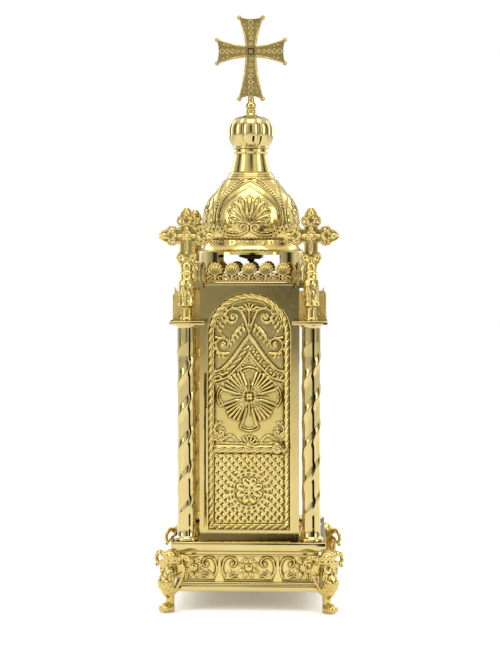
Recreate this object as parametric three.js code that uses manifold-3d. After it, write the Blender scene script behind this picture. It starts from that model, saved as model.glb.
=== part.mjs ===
// Altar tabernacle in gilt brass: a plinth on four cherub feet, four twisted columns around a
// cabinet with an arched door, and a domed lantern with a cross.
// Millimetres, +Z up, the ground at z = 0, the door faces -Y.

import * as THREE from "three";
import { mergeVertices } from "three/addons/utils/BufferGeometryUtils.js";
import Module from "manifold-3d";

const wasm = await Module();
wasm.setup();

// Clearances
const seatGap = 0.3; // where carved or turned faces meet a neighbour
const sheet = 1.5; // sheet brass of the cabinet and the lantern

// Plinth
const groundClearance = 18.5;
const plinthSetback = 3; // bottom slab behind the top slab's edge
const bottomSlabHeight = 5.8;
const slabChamfer = 0.9;
const lowerMouldingHeight = 3;
const lowerMouldingInset = 2.2;
const friezeInset = 5;
const friezeHeight = 26.4;
const friezeSheet = 2.2;
const friezeRelief = 1.6;
const pilasterWidth = 4.6;
const coveHeight = 4.3;
const slabMargin = 14; // top slab beyond the column axis
const topSlabHeight = 8.2;

// Cherub feet
const footReach = 19; // toe in front of the bottom slab's corner
const headRadius = 8.2;
const wingSpan = 28;
const wingThickness = 2.6;
const strapThickness = 1.5;

// Columns
const columnStandoff = 11.7; // column axis outside the cabinet's face
const shaftRadius = 7.9;
const twistRidge = 1.2;
const twistPitch = 66;
const discRadius = 12;
const discHeight = 4;
const plainFoot = 20;
const plainHead = 17;
const collarHeight = 3;
const collarRadius = 10.6;

// Capital plate and parapet
const capitalOverhang = 1.8; // beyond the top slab
const capitalDrop = 34.5; // underside of the capital plate below the cabinet's roof
const capitalThickness = 3.5;
const notchClearance = 0.7; // beside the door
const wingGap = 2.5; // between the front wings and the tray
const parapetHeight = 24.5;
const parapetSheet = 1.2;
const parapetInset = 1.2;
const parapetLean = 2;
const parapetPoint = 3.2;

// Corner finials
const finialHeight = 110.2;
const vaseRadius = 8.3;
const finialThickness = 4.2;
const crossReach = 28.4;
const crossShaft = 4.4;
const budHalf = 9.7; // half width of an arm's bud

// Cabinet
const cabinetStile = 7.2; // cabinet front beside the door
const cabinetHead = 3.4; // cabinet roof above the door's arch
const doorHalf = 41.1;
const doorSill = 6.8; // bottom of the door above the top slab
const doorStraight = 191; // straight sides, below the arch
const doorLap = 3.2; // door over the edge of the doorway
const doorSheet = 1.5;
const doorRelief = 2;
const borderWidth = 6.4;
const lipWidth = 1.2;
const bandBottom = 75.8; // horizontal rope band above the door's bottom
const bandWidth = 6;
const emblemHeight = 130; // big cross above the door's bottom
const emblemReach = 31;
const smallEmblemHeight = 39;
const smallEmblemReach = 12.5;

// Hinge and knob
const knuckleRadius = 1.4;
const pinRadius = 0.6;
const knuckleBore = 0.9;
const hingeStandoff = 5.7; // barrel axis in front of the cabinet
const hingeSideGap = 0.45; // between barrel and door edge
const hingeFoot = 4.5; // hinge above the door's bottom
const hingeLength = 148;
const hingeEndKnuckle = 32;
const leafThickness = 0.8;
const knobRadius = 5;
const knobLength = 10;
const knobFromEdge = 14;
const knobHeight = 81;

// Cornice tray and cresting
const trayOverhang = 9.2; // beyond the cabinet
const trayChamfer = 14.5;
const trayHeight = 6.1;
const trayLip = 1.4;
const crestHeight = 19.4;
const crestSheet = 1.2;
const crestInset = 3;
const crestFans = 5;

// Lantern drum, skirt and dome
const drumInset = 5.5; // drum behind the tray's edge
const drumHeight = 28.4;
const drumSegments = 32;
const windowHalfAngle = 35.5;
const windowHead = 2.2; // drum left above a window
const windowSill = 4;
const skirtOverhang = 1.2;
const skirtHeight = 12;
const skirtLap = 5.5; // skirt under the dome's foot
const skirtMargin = 2; // skirt's neck beyond the dome's foot
const domeRadius = 49;
const domeHeight = 90;
const domeRelief = 1.4;
const boltRadius = 2.2;
const nutRadius = 3.6;
const nutHeight = 2.4;
const clampWidth = 22;
const clampThickness = 3.4;
const clampDrop = 6.4; // underside of the clamp bar below the drum's top
const boltDrop = 8;

// Bulb, stem and top cross
const bulbHeight = 33;
const bulbRadius = 22.8;
const bulbLobes = 8;
const stemHeight = 14.6;
const ballRadius = 5.6;
const topCrossHalf = 36.3;
const topCrossWaist = 5.4;
const topCrossFlare = 13.2;
const topCrossThickness = 4.4;
const topCrossLower = 49.6; // lower arm, longer than the others

// Levels, stacked from the ground up
const bottomSlabZ = groundClearance;
const lowerMouldingZ = bottomSlabZ + bottomSlabHeight;
const friezeZ = lowerMouldingZ + lowerMouldingHeight;
const coveZ = friezeZ + friezeHeight;
const topSlabZ = coveZ + coveHeight;
const footHeight = topSlabZ;
const deckZ = topSlabZ + topSlabHeight;
const doorBottomZ = deckZ + doorSill;
const springZ = doorBottomZ + doorStraight;
const doorTopZ = springZ + doorHalf;
const cabinetTopZ = doorTopZ + cabinetHead;
const capitalZ = cabinetTopZ - capitalDrop;
const terraceZ = capitalZ + capitalThickness;
const wingHeight = cabinetTopZ - terraceZ - wingGap;
const trayTopZ = cabinetTopZ + trayHeight;
const drumTopZ = trayTopZ + drumHeight;
const domeZ = drumTopZ + skirtHeight + seatGap;
const domeTopZ = domeZ + domeHeight;
const bulbZ = domeTopZ + seatGap;
const stemZ = bulbZ + bulbHeight + seatGap;
const crossFootZ = stemZ + stemHeight + seatGap;
const crossCentreZ = crossFootZ + topCrossLower;

// Plan positions
const cabinetHalf = doorHalf + cabinetStile;
const columnAxis = cabinetHalf + columnStandoff;
const topSlabHalf = columnAxis + slabMargin;
const bottomSlabHalf = topSlabHalf - plinthSetback;
const friezeHalf = bottomSlabHalf - friezeInset;
const mouldingHalf = bottomSlabHalf - lowerMouldingInset;
const capitalHalf = topSlabHalf + capitalOverhang;
const parapetFace = capitalHalf - parapetInset;
const doorBackY = -(cabinetHalf + seatGap);
const doorFaceY = doorBackY - doorSheet;
const trayHalf = cabinetHalf + trayOverhang;
const drumRadius = trayHalf - drumInset;
const hingeX = -(doorHalf + hingeSideGap + knuckleRadius);
const hingeY = -(cabinetHalf + hingeStandoff);
const hingeZ = doorBottomZ + hingeFoot;
const corners = [[-1, -1], [1, -1], [1, 1], [-1, 1]];

// Materials
const polishedGilt = { color: 0xd9bd62, roughness: 0.12, metalness: 1 };
const castGilt = { color: 0xcfae55, roughness: 0.24, metalness: 1 };
const stippledGilt = { color: 0xb89a4e, roughness: 0.5, metalness: 1 };
const darkSteel = { color: 0x1d1a15, roughness: 0.45, metalness: 1 };

// Solid helpers

function closed(geometry) {
  const bare = geometry.index ? geometry.toNonIndexed() : geometry.clone();
  for (const name of Object.keys(bare.attributes)) {
    if (name !== "position") bare.deleteAttribute(name);
  }
  const merged = mergeVertices(bare, 1e-4);
  const source = merged.index.array;
  const kept = [];
  for (let i = 0; i < source.length; i += 3) {
    const [a, b, c] = [source[i], source[i + 1], source[i + 2]];
    if (a !== b && b !== c && c !== a) kept.push(a, b, c);
  }
  if (signedVolume(merged.attributes.position, kept) < 0) kept.reverse();
  merged.setIndex(kept);
  return merged;
}

function signedVolume(position, index) {
  const [a, b, c] = [new THREE.Vector3(), new THREE.Vector3(), new THREE.Vector3()];
  let volume = 0;
  for (let i = 0; i < index.length; i += 3) {
    a.fromBufferAttribute(position, index[i]);
    b.fromBufferAttribute(position, index[i + 1]);
    c.fromBufferAttribute(position, index[i + 2]);
    volume += a.dot(b.cross(c));
  }
  return volume;
}

function solid(geometry) {
  const shape = closed(geometry);
  return new wasm.Manifold(new wasm.Mesh({
    numProp: 3,
    vertProperties: Float32Array.from(shape.attributes.position.array),
    triVerts: Uint32Array.from(shape.index.array),
  }));
}

function fused(...geometries) {
  return geometries.map(solid).reduce((whole, piece) => whole.add(piece));
}

function cut(whole, ...geometries) {
  return geometries.map(solid).reduce((rest, tool) => rest.subtract(tool), whole);
}

function toGeometry(manifold) {
  const mesh = manifold.getMesh();
  const geometry = new THREE.BufferGeometry();
  geometry.setAttribute("position", new THREE.BufferAttribute(mesh.vertProperties, 3));
  geometry.setIndex(new THREE.BufferAttribute(mesh.triVerts, 1));
  return geometry;
}

function box(x0, x1, y0, y1, z0, z1) {
  return new THREE.BoxGeometry(x1 - x0, y1 - y0, z1 - z0)
    .translate((x0 + x1) / 2, (y0 + y1) / 2, (z0 + z1) / 2);
}

function turned(profile, segments, startAngle = 0) {
  const points = profile.map(([radius, z]) => new THREE.Vector2(radius, z));
  return new THREE.LatheGeometry(points, segments, startAngle).rotateX(Math.PI / 2);
}

// A turning with four sides, whose profile gives half widths: a moulded square slab.
function squareTurning(profile) {
  const diagonal = profile.map(([half, z]) => [half * Math.SQRT2, z]);
  return turned(diagonal, 4, Math.PI / 4);
}

function slab(half, z0, z1) {
  const c = slabChamfer;
  return squareTurning([
    [0, z0], [half - c, z0], [half, z0 + c], [half, z1 - c], [half - c, z1], [0, z1],
  ]);
}

// A flat outline of [x, z] points, standing between two Y planes with its face towards -Y.
function standing(points, backY, frontY, holes = []) {
  const shape = new THREE.Shape(points.map(([x, z]) => new THREE.Vector2(x, z)));
  shape.holes = holes.map((hole) => new THREE.Path(hole.map(([x, z]) => new THREE.Vector2(x, z))));
  return new THREE.ExtrudeGeometry(shape, { depth: backY - frontY, bevelEnabled: false })
    .rotateX(Math.PI / 2)
    .translate(0, backY, 0);
}

// A flat outline of [x, y] points, lying between two levels.
function lying(points, z0, z1) {
  const shape = new THREE.Shape(points.map(([x, y]) => new THREE.Vector2(x, y)));
  return new THREE.ExtrudeGeometry(shape, { depth: z1 - z0, bevelEnabled: false })
    .translate(0, 0, z0);
}

// A closed body through rings of equal point count, its two ends capped by fans.
function loft(rings) {
  const count = rings[0].length;
  const points = rings.flat();
  const index = [];
  for (let row = 0; row < rings.length - 1; row += 1) {
    for (let i = 0; i < count; i += 1) {
      const [a, b] = [row * count + i, row * count + ((i + 1) % count)];
      index.push(a, b, b + count, a, b + count, a + count);
    }
  }
  const last = (rings.length - 1) * count;
  for (let i = 1; i < count - 1; i += 1) {
    index.push(0, i + 1, i, last, last + i, last + i + 1);
  }
  const geometry = new THREE.BufferGeometry().setFromPoints(points);
  geometry.setIndex(index);
  return geometry;
}

// Rings of a given half width and half depth, square to a path of points.
function sweptRings(path, sizes, sides, sideways) {
  return path.map((point, i) => {
    const before = path[Math.max(i - 1, 0)];
    const after = path[Math.min(i + 1, path.length - 1)];
    const along = after.clone().sub(before).normalize();
    const across = sideways.clone().cross(along).normalize();
    return Array.from({ length: sides }, (_, k) => {
      const angle = ((k + 0.5) / sides) * Math.PI * 2;
      return point.clone()
        .addScaledVector(sideways, Math.cos(angle) * sizes[i][0])
        .addScaledVector(across, Math.sin(angle) * sizes[i][1]);
    });
  });
}

function arc(cx, cz, radius, fromDegrees, toDegrees, segments) {
  return Array.from({ length: segments + 1 }, (_, i) => {
    const angle = THREE.MathUtils.degToRad(fromDegrees + ((toDegrees - fromDegrees) * i) / segments);
    return [cx + radius * Math.cos(angle), cz + radius * Math.sin(angle)];
  });
}

// A C-shaped band: an outer arc and the inner arc back.
function arcBand(cx, cz, radius, width, fromDegrees, toDegrees, segments) {
  return [
    ...arc(cx, cz, radius, fromDegrees, toDegrees, segments),
    ...arc(cx, cz, radius - width, toDegrees, fromDegrees, segments),
  ];
}

// A rosette outline whose radius swells once for each petal.
function rosette(cx, cz, radius, petals, depth) {
  return Array.from({ length: petals * 2 }, (_, i) => {
    const angle = (i / petals) * Math.PI;
    const reach = i % 2 ? radius * (1 - depth) : radius;
    return [cx + reach * Math.sin(angle), cz + reach * Math.cos(angle)];
  });
}

// Turns outline points about a centre.
function spun(points, cx, cz, degrees) {
  const angle = THREE.MathUtils.degToRad(degrees);
  const [cos, sin] = [Math.cos(angle), Math.sin(angle)];
  return points.map(([x, z]) => [
    cx + (x - cx) * cos - (z - cz) * sin,
    cz + (x - cx) * sin + (z - cz) * cos,
  ]);
}

const tabernacle = new THREE.Group();

function place(name, piece, finish, turn = 0) {
  const geometry = piece.isBufferGeometry ? closed(piece) : toGeometry(piece);
  geometry.computeVertexNormals();
  const mesh = new THREE.Mesh(geometry, new THREE.MeshStandardMaterial(finish));
  mesh.name = name;
  mesh.rotation.z = turn;
  tabernacle.add(mesh);
}

// Plinth

function lowerMoulding() {
  const [h, z, t] = [mouldingHalf, lowerMouldingZ, lowerMouldingHeight];
  return squareTurning([[0, z], [h, z], [h, z + t / 2], [friezeHalf + 0.5, z + t], [0, z + t]]);
}

function coveMoulding() {
  const [h, z, t] = [friezeHalf + 0.5, coveZ, coveHeight];
  return squareTurning([
    [0, z], [h, z], [h, z + t / 3], [h + 1.2, z + t * 0.7], [topSlabHalf - 3, z + t], [0, z + t],
  ]);
}

// One frieze panel, facing -Y: a sheet with end pilasters, daisies and, where it is rich, C-scrolls.
function friezePanel(halfLength, rich = false) {
  const backY = -(friezeHalf - friezeSheet);
  const frontY = -friezeHalf;
  const rootY = frontY + 0.4;
  const reliefY = frontY - friezeRelief;
  const middle = friezeZ + friezeHeight / 2;
  const pitch = (halfLength - pilasterWidth) * 0.86;
  const scrollRadius = friezeHeight * 0.36;
  const parts = [box(-halfLength, halfLength, frontY, backY, friezeZ, coveZ)];
  for (const side of [-1, 1]) {
    const pilasterX = side * (halfLength - pilasterWidth / 2 - 0.6);
    parts.push(box(pilasterX - pilasterWidth / 2, pilasterX + pilasterWidth / 2,
      frontY - 0.9, rootY, friezeZ + 0.5, coveZ - 0.5));
    for (const turn of rich ? [-1, 1] : []) {
      const scrollX = (side * pitch) / 2 + turn * scrollRadius * 1.06;
      const scroll = arcBand(scrollX, middle, scrollRadius, 2.4, 90 - turn * 30, 90 + turn * 150, 5);
      parts.push(standing(scroll, rootY, reliefY));
    }
    parts.push(standing(rosette(side * pitch, middle, 6.5, 4, 0.35), rootY, reliefY + 0.4));
  }
  parts.push(standing(rosette(0, middle, 9, 6, 0.3), rootY, reliefY));
  return fused(...parts);
}

// Cherub foot, drawn at the corner on +X and turned to its place: u runs out along the
// diagonal, t along the base on both sides. Its stations are shares of the foot's height.
function cherubFoot() {
  const cornerU = bottomSlabHalf * Math.SQRT2;
  const at = (u, t, z) => new THREE.Vector3(cornerU + u * footHeight, t * footHeight, z * footHeight);
  const sideways = new THREE.Vector3(0, 1, 0);
  const headShare = 1 - (headRadius / footHeight) * 0.9;
  // Leg stations: distance of the middle line from the slab's corner, height, half widths
  const stations = [
    [0.0828, 0.0, 0.0724, 0.0793], [0.0897, 0.1552, 0.0655, 0.0759], [0.0897, 0.2586, 0.0724, 0.0793],
    [0.1466, 0.3621, 0.1138, 0.1069], [0.169, 0.5, 0.1379, 0.1517],
    [0.1293, 0.6379, 0.1207, 0.1379], [0.0948, 0.7586, 0.0966, 0.1034],
  ];
  const leg = loft(sweptRings(
    stations.map(([u, z]) => at(u, 0, z)),
    stations.map(([, , halfT, halfU]) => [halfT * footHeight, halfU * footHeight]),
    6, sideways,
  ));
  const toeLength = footReach * 0.474;
  const toe = new THREE.SphereGeometry(1, 6, 4).scale(toeLength, toeLength * 0.71, toeLength * 0.62)
    .translate(cornerU + footReach - toeLength, 0, toeLength * 0.467);
  const head = new THREE.SphereGeometry(headRadius, 8, 5).scale(0.95, 0.92, 1.06).rotateX(Math.PI / 2)
    .translate(cornerU + headRadius * 0.66, 0, headShare * footHeight);
  const parts = [leg, toe, head];
  for (const side of [-1, 1]) {
    // Along the wing: out, sideways as a share of its span, and up from the head's middle
    const wingPath = [
      [0.0517, 0.1429, -0.1034], [0.069, 0.3929, 0.0259], [0.0603, 0.6429, 0.0776],
      [0.0259, 0.875, 0.0172], [0.0, 0.9643, -0.0948], [-0.0086, 0.8393, -0.1552],
    ].map(([u, t, z]) => at(u, (side * t * wingSpan) / footHeight, headShare + z));
    const wingSize = [[1, 2.31], [1, 2.08], [0.87, 1.54], [0.8, 1.15], [0.8, 1], [0.67, 0.77]]
      .map(([thick, wide]) => [thick * wingThickness, wide * wingThickness]);
    const outward = new THREE.Vector3(1, 0, 0);
    parts.push(loft(sweptRings(wingPath, wingSize, 5, outward)));
    const strapPath = [[0.0517, 0.0517, 0.3448], [0.0431, 0.2069, 0.5517], [0.0431, 0.2759, 0.7586]]
      .map(([u, t, z]) => at(u, side * t, z));
    const strapSize = strapPath.map(() => [strapThickness, strapThickness * 1.2]);
    parts.push(loft(sweptRings(strapPath, strapSize, 4, outward)));
  }
  return fused(...parts);
}

// The foot set on its corner and fitted around the plinth's edges.
function fittedFoot(angle) {
  const foot = cherubFoot();
  const turnedFoot = toGeometry(foot).rotateZ(angle);
  const g = seatGap;
  const far = topSlabHalf * 3;
  const lowSlab = bottomSlabHalf + g;
  const frieze = mouldingHalf + g;
  const topSlab = topSlabHalf + g;
  return cut(
    solid(turnedFoot),
    box(-lowSlab, lowSlab, -lowSlab, lowSlab, bottomSlabZ - g, lowerMouldingZ + g),
    box(-frieze, frieze, -frieze, frieze, lowerMouldingZ, topSlabZ),
    box(-topSlab, topSlab, -topSlab, topSlab, topSlabZ - g, deckZ + 20),
    box(-far, far, -far, far, -20, 0),
  );
}

// Colonnade

function columnRadius(angle, z) {
  const twistFrom = deckZ + plainFoot;
  const twistTo = capitalZ - plainHead - collarHeight;
  const fade = Math.min(1, Math.max(0, (z - twistFrom) / 4), Math.max(0, (twistTo - z) / 4));
  return shaftRadius + fade * twistRidge * (0.5 + 0.5 * Math.cos(2 * angle));
}

function column() {
  const sides = 8;
  const twistFrom = deckZ + plainFoot;
  const twistTo = capitalZ - plainHead - collarHeight;
  const steps = 15;
  const ring = (radiusAt, z, turn = 0) => Array.from({ length: sides }, (_, i) => {
    const angle = (i / sides) * Math.PI * 2;
    const radius = radiusAt(angle);
    return new THREE.Vector3(radius * Math.cos(angle + turn), radius * Math.sin(angle + turn), z);
  });
  const round = (radius) => () => radius;
  const rings = [
    ring(round(discRadius - 1), deckZ), ring(round(discRadius), deckZ + 1),
    ring(round(discRadius), deckZ + discHeight - 1),
    ring(round(shaftRadius + 0.6), deckZ + discHeight),
  ];
  for (let i = 0; i <= steps; i += 1) {
    const z = twistFrom + ((twistTo - twistFrom) * i) / steps;
    const turn = ((z - twistFrom) / twistPitch) * Math.PI * 2;
    rings.push(ring((angle) => columnRadius(angle, z), z, turn));
  }
  const endTurn = ((twistTo - twistFrom) / twistPitch) * Math.PI * 2;
  rings.push(
    ring(round(shaftRadius), capitalZ - collarHeight, endTurn),
    ring(round(collarRadius), capitalZ, endTurn),
  );
  return loft(rings);
}

function capitalPlate() {
  const [h, c, n] = [capitalHalf, cabinetHalf, doorHalf + notchClearance];
  return lying([
    [-h, -h], [-n, -h], [-n, -c], [-c, -c], [-c, c], [c, c], [c, -c], [n, -c], [n, -h],
    [h, -h], [h, h], [-h, h],
  ], capitalZ, terraceZ);
}

function placeParapets() {
  const [face, s] = [parapetFace, parapetSheet];
  for (const [side, word] of [[-1, "left"], [1, "right"]]) {
    const low = parapetHeight;
    // Wing outline from its outer foot: the outer edge leans in and ends in a small upturned point
    const wing = (height, point) => [
      [face, 0], [cabinetHalf, 0], [cabinetHalf, height], [face - parapetLean - 1.6, height],
      [face - parapetLean - 0.8, height + point], [face - parapetLean, height + point],
    ].map(([x, z]) => [side * x, terraceZ + z]);
    const sideX = [side * face, side * (face - s)];
    place(`parapet_${word}_front`, standing(wing(wingHeight, parapetPoint), -cabinetHalf + s, -cabinetHalf),
      stippledGilt);
    place(`parapet_${word}_side`, box(Math.min(...sideX), Math.max(...sideX), -cabinetHalf + s,
      cabinetHalf - s, terraceZ, terraceZ + low), stippledGilt);
    place(`parapet_${word}_rear`, standing(wing(low, 0.4), cabinetHalf, cabinetHalf - s), stippledGilt);
  }
}

// Corner finial: a leafy vase with a budded cross, one casting
function finial() {
  // Profile: radius and height as shares of the vase's radius and the finial's height
  const vase = turned([
    [0.0, 0.0], [0.747, 0.0], [0.747, 0.0227], [0.639, 0.0272], [0.639, 0.118], [1.0, 0.1316],
    [0.988, 0.1543], [0.952, 0.1724], [0.916, 0.3267], [0.687, 0.3766], [0.687, 0.4083],
    [0.783, 0.4292], [0.639, 0.4946], [0.386, 0.5082], [0.0, 0.5082],
  ].map(([radius, z]) => [radius * vaseRadius, terraceZ + z * finialHeight]), 7);
  const centre = terraceZ + finialHeight - crossReach;
  const [w, b, r] = [crossShaft, budHalf, crossReach];
  // One arm, pointing up, from its right root to its left root: a bud shaped like a lily
  const arm = [
    [w, r * 0.32], [b * 0.88, r * 0.405], [b, r * 0.6], [b * 0.57, r * 0.757], [b * 0.22, r * 0.93],
    [0, r],
    [-b * 0.22, r * 0.93], [-b * 0.57, r * 0.757], [-b, r * 0.6], [-b * 0.88, r * 0.405], [-w, r * 0.32],
  ];
  const outline = [0, 90, 270].flatMap((turn) => spun(arm, 0, 0, turn));
  const leaf = [[w, 0.59], [b * 0.95, 0.572], [b, 0.517], [w * 1.1, 0.481]]
    .map(([x, share]) => [x, terraceZ + finialHeight * share - centre]);
  const calyx = [...leaf.map(([x, dz]) => [-x, dz]), ...leaf.reverse()];
  const [up, left, right] = [outline.slice(0, 11), outline.slice(11, 22), outline.slice(22)];
  const cross = [...up, ...left, ...calyx, ...right].map(([x, dz]) => [x, centre + dz]);
  const half = finialThickness / 2;
  const flower = turned([[0, 0], [6, 0], [4, half + 2.2], [0, half + 3]], 6)
    .rotateX(Math.PI / 2).translate(0, 0, centre);
  return fused(vase, standing(cross, half, -half), flower);
}

// Cabinet

function archOutline(half, bottom, segments) {
  return [[-half, bottom], [half, bottom], ...arc(0, springZ, half, 0, 180, segments)];
}

function placeCabinet() {
  const [c, s] = [cabinetHalf, sheet];
  const top = cabinetTopZ - s;
  const front = [[-c, deckZ], [c, deckZ], [c, top], [-c, top]];
  const doorway = archOutline(doorHalf - doorLap, doorBottomZ + doorLap, 12);
  place("cabinet_front", standing(front, -c + s, -c, [doorway]), polishedGilt);
  place("cabinet_left", box(-c, -c + s, -c + s, c - s, deckZ, top), polishedGilt);
  place("cabinet_right", box(c - s, c, -c + s, c - s, deckZ, top), polishedGilt);
  place("cabinet_rear", box(-c, c, c - s, c, deckZ, top), polishedGilt);
  place("cabinet_top", box(-c, c, -c, c, top, cabinetTopZ), polishedGilt);
}

// A long raised strip along points, with square ends, for the door's ogee bands
function strip(points, width) {
  const left = [];
  const right = [];
  points.forEach(([x, z], i) => {
    const [x0, z0] = points[Math.max(i - 1, 0)];
    const [x1, z1] = points[Math.min(i + 1, points.length - 1)];
    const length = Math.hypot(x1 - x0, z1 - z0);
    const [nx, nz] = [-(z1 - z0) / length, (x1 - x0) / length];
    left.push([x + (nx * width) / 2, z + (nz * width) / 2]);
    right.push([x - (nx * width) / 2, z - (nz * width) / 2]);
  });
  return [...left, ...right.reverse()];
}

function doorPanel() {
  const rootY = doorFaceY + 0.4;
  const frontY = doorFaceY - doorRelief;
  const innerHalf = doorHalf - lipWidth - borderWidth;
  const emblemZ = doorBottomZ + emblemHeight;
  const smallZ = doorBottomZ + smallEmblemHeight;
  const bandZ = doorBottomZ + bandBottom;
  const parts = [standing(archOutline(doorHalf, doorBottomZ, 12), doorBackY, doorFaceY)];
  const rim = archOutline(doorHalf - lipWidth, doorBottomZ + lipWidth, 12);
  const field = archOutline(innerHalf, doorBottomZ + lipWidth + borderWidth, 12);
  parts.push(standing(rim, rootY, frontY + 0.3, [field]));
  parts.push(box(-innerHalf - 1, innerHalf + 1, frontY + 0.3, rootY, bandZ, bandZ + bandWidth));
  const flaredArm = [[-3.2, 0], [3.2, 0], [4.6, emblemReach * 0.55], [11.5, emblemReach * 0.93],
    [0, emblemReach], [-11.5, emblemReach * 0.93], [-4.6, emblemReach * 0.55]];
  const ray = [[-1.2, 9], [1.2, 9], [2, emblemReach * 0.8], [-2, emblemReach * 0.8]];
  const petal = [[-1.4, 0], [1.4, 0], [4.6, smallEmblemReach * 0.8], [0, smallEmblemReach],
    [-4.6, smallEmblemReach * 0.8]];
  const lift = (points, z, turn) => spun(points, 0, 0, turn).map(([x, dz]) => [x, z + dz]);
  for (const turn of [0, 90, 180, 270]) {
    parts.push(standing(lift(flaredArm, emblemZ, turn), rootY, frontY));
    parts.push(standing(lift(petal, smallZ, turn), rootY, frontY));
    for (const step of [35, 55]) {
      parts.push(standing(lift(ray, emblemZ, turn + step), rootY, frontY + 0.6));
    }
  }
  const ogeeSpan = innerHalf;
  for (const drop of [0, 9]) {
    const rise = (x) => springZ - 42 + 37 * (1 - Math.abs(x) / ogeeSpan) ** 1.6 - drop;
    const points = Array.from({ length: 7 }, (_, i) => {
      const x = ogeeSpan * (-1 + i / 3);
      return [x, rise(x)];
    });
    parts.push(standing(strip(points, 2), rootY, frontY + 0.3));
  }
  for (const [x, dz] of [[16.5, 13], [27, -14]]) {
    for (const side of [-1, 1]) {
      const scroll = arcBand(side * x, springZ + dz, 7, 2.4, 90 - side * 180, 90 + side * 120, 4);
      parts.push(standing(scroll, rootY, frontY + 0.4));
    }
  }
  parts.push(standing(rosette(0, springZ + 29, 6.5, 5, 0.25), rootY, frontY + 0.4));
  return fused(...parts);
}

function tubeUpright(x, y, z0, z1, outer, bore) {
  const profile = bore
    ? [[bore, z0], [outer, z0], [outer, z1], [bore, z1], [bore, z0]]
    : [[0, z0], [outer, z0], [outer, z1], [0, z1]];
  return turned(profile, 8).translate(x, y, 0);
}

function placeHinge() {
  const lowJoint = hingeZ + hingeEndKnuckle;
  const highJoint = hingeZ + hingeLength - hingeEndKnuckle;
  const [x, y, r] = [hingeX, hingeY, knuckleRadius];
  const halfLeaf = leafThickness / 2;
  const backY = -(cabinetHalf + seatGap);
  const leaf = (z0, z1) => box(x - r + 0.2, x + 0.2, y, backY, z0, z1);
  place("hinge_cabinet_leaf", fused(
    tubeUpright(x, y, hingeZ, lowJoint, r),
    tubeUpright(x, y, highJoint, hingeZ + hingeLength, r),
    tubeUpright(x, y, hingeZ, hingeZ + hingeLength, pinRadius),
    leaf(hingeZ + 1, lowJoint - 1),
    leaf(highJoint + 1, hingeZ + hingeLength - 1),
  ), polishedGilt);
  const bored = cut(
    fused(
      tubeUpright(x, y, lowJoint + seatGap, highJoint - seatGap, r),
      box(x, -doorHalf + lipWidth, y - halfLeaf, y + halfLeaf, lowJoint + 1, highJoint - 1),
      box(-doorHalf + 0.2, -doorHalf + lipWidth, y - halfLeaf, doorFaceY - seatGap,
        lowJoint + 1, highJoint - 1),
    ),
    tubeUpright(x, y, lowJoint - 1, highJoint + 1, knuckleBore),
  );
  place("door_hinge_leaf", bored, polishedGilt);
}

function knob() {
  const faceY = doorFaceY - doorRelief - seatGap;
  const [r, l] = [knobRadius, knobLength];
  return turned([
    [0, 0], [r * 0.62, 0], [r * 0.45, l * 0.3], [r, l * 0.5], [r, l * 0.75], [r * 0.6, l], [0, l * 0.9],
  ], 10).rotateX(Math.PI / 2)
    .translate(doorHalf - knobFromEdge, faceY, doorBottomZ + knobHeight);
}

// Roof

function octagon(half, chamfer) {
  const flat = half - chamfer;
  return [[-flat, -half], [flat, -half], [half, -flat], [half, flat], [flat, half], [-flat, half],
    [-half, flat], [-half, -flat]];
}

function corniceTray() {
  const step = trayHeight / 2;
  return fused(
    lying(octagon(trayHalf - trayLip, trayChamfer - trayLip * 0.6), cabinetTopZ, cabinetTopZ + step + 0.2),
    lying(octagon(trayHalf, trayChamfer), cabinetTopZ + step, trayTopZ),
  );
}

// A straight strip of cresting, facing -Y: fan palmettes over pierced feet
function crestStrip(halfLength) {
  const pitch = (2 * halfLength) / crestFans;
  const foot = 2.2;
  const topEdge = [];
  const holes = [];
  for (let i = 0; i < crestFans; i += 1) {
    const cx = halfLength - pitch * (i + 0.5);
    const radius = pitch * 0.52;
    const rise = crestHeight - radius;
    topEdge.push(...arc(cx, rise, radius, 18, 162, 3));
    if (i < crestFans - 1) {
      const gapX = cx - pitch / 2;
      holes.push([[gapX - 2.4, foot + 0.6], [gapX + 2.4, foot + 0.6], [gapX, foot + 6.5]]);
    }
  }
  const outline = [[-halfLength, 0], [halfLength, 0], ...topEdge];
  const lift = (points) => points.map(([x, z]) => [x, trayTopZ + z]);
  const backY = -(trayHalf - crestInset - crestSheet);
  const band = solid(standing(lift(outline), backY, backY - crestSheet));
  return cut(band, ...holes.map((hole) => standing(lift(hole), backY + 1, backY - crestSheet - 1)));
}

// A corner strip of cresting: a row of pointed leaves
function crestCorner(halfLength, distance) {
  const leaves = 3;
  const pitch = (2 * halfLength) / leaves;
  const edge = [];
  for (let i = 0; i < leaves; i += 1) {
    const cx = halfLength - pitch * (i + 0.5);
    const shoulder = crestHeight * 0.62;
    edge.push([cx + pitch * 0.42, shoulder], [cx, crestHeight], [cx - pitch * 0.42, shoulder]);
    if (i < leaves - 1) edge.push([cx - pitch / 2, crestHeight * 0.5]);
  }
  const outline = [[-halfLength, 0], [halfLength, 0], ...edge].map(([x, z]) => [x, trayTopZ + z]);
  return standing(outline, -distance, -distance - crestSheet);
}

function placeCresting() {
  const mitre = (crestInset + crestSheet) * Math.tan(Math.PI / 8) + seatGap;
  const flat = trayHalf - trayChamfer - mitre;
  const cornerDistance = (2 * trayHalf - trayChamfer) / Math.SQRT2 - crestInset - crestSheet;
  const cornerHalf = trayChamfer / Math.SQRT2 - mitre;
  ["front", "right", "rear", "left"].forEach((word, i) => {
    place(`cresting_${word}`, crestStrip(flat), castGilt, (i * Math.PI) / 2);
  });
  ["front_right", "rear_right", "rear_left", "front_left"].forEach((word, i) => {
    place(`cresting_corner_${word}`, crestCorner(cornerHalf, cornerDistance), castGilt,
      Math.PI / 4 + (i * Math.PI) / 2);
  });
}

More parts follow.
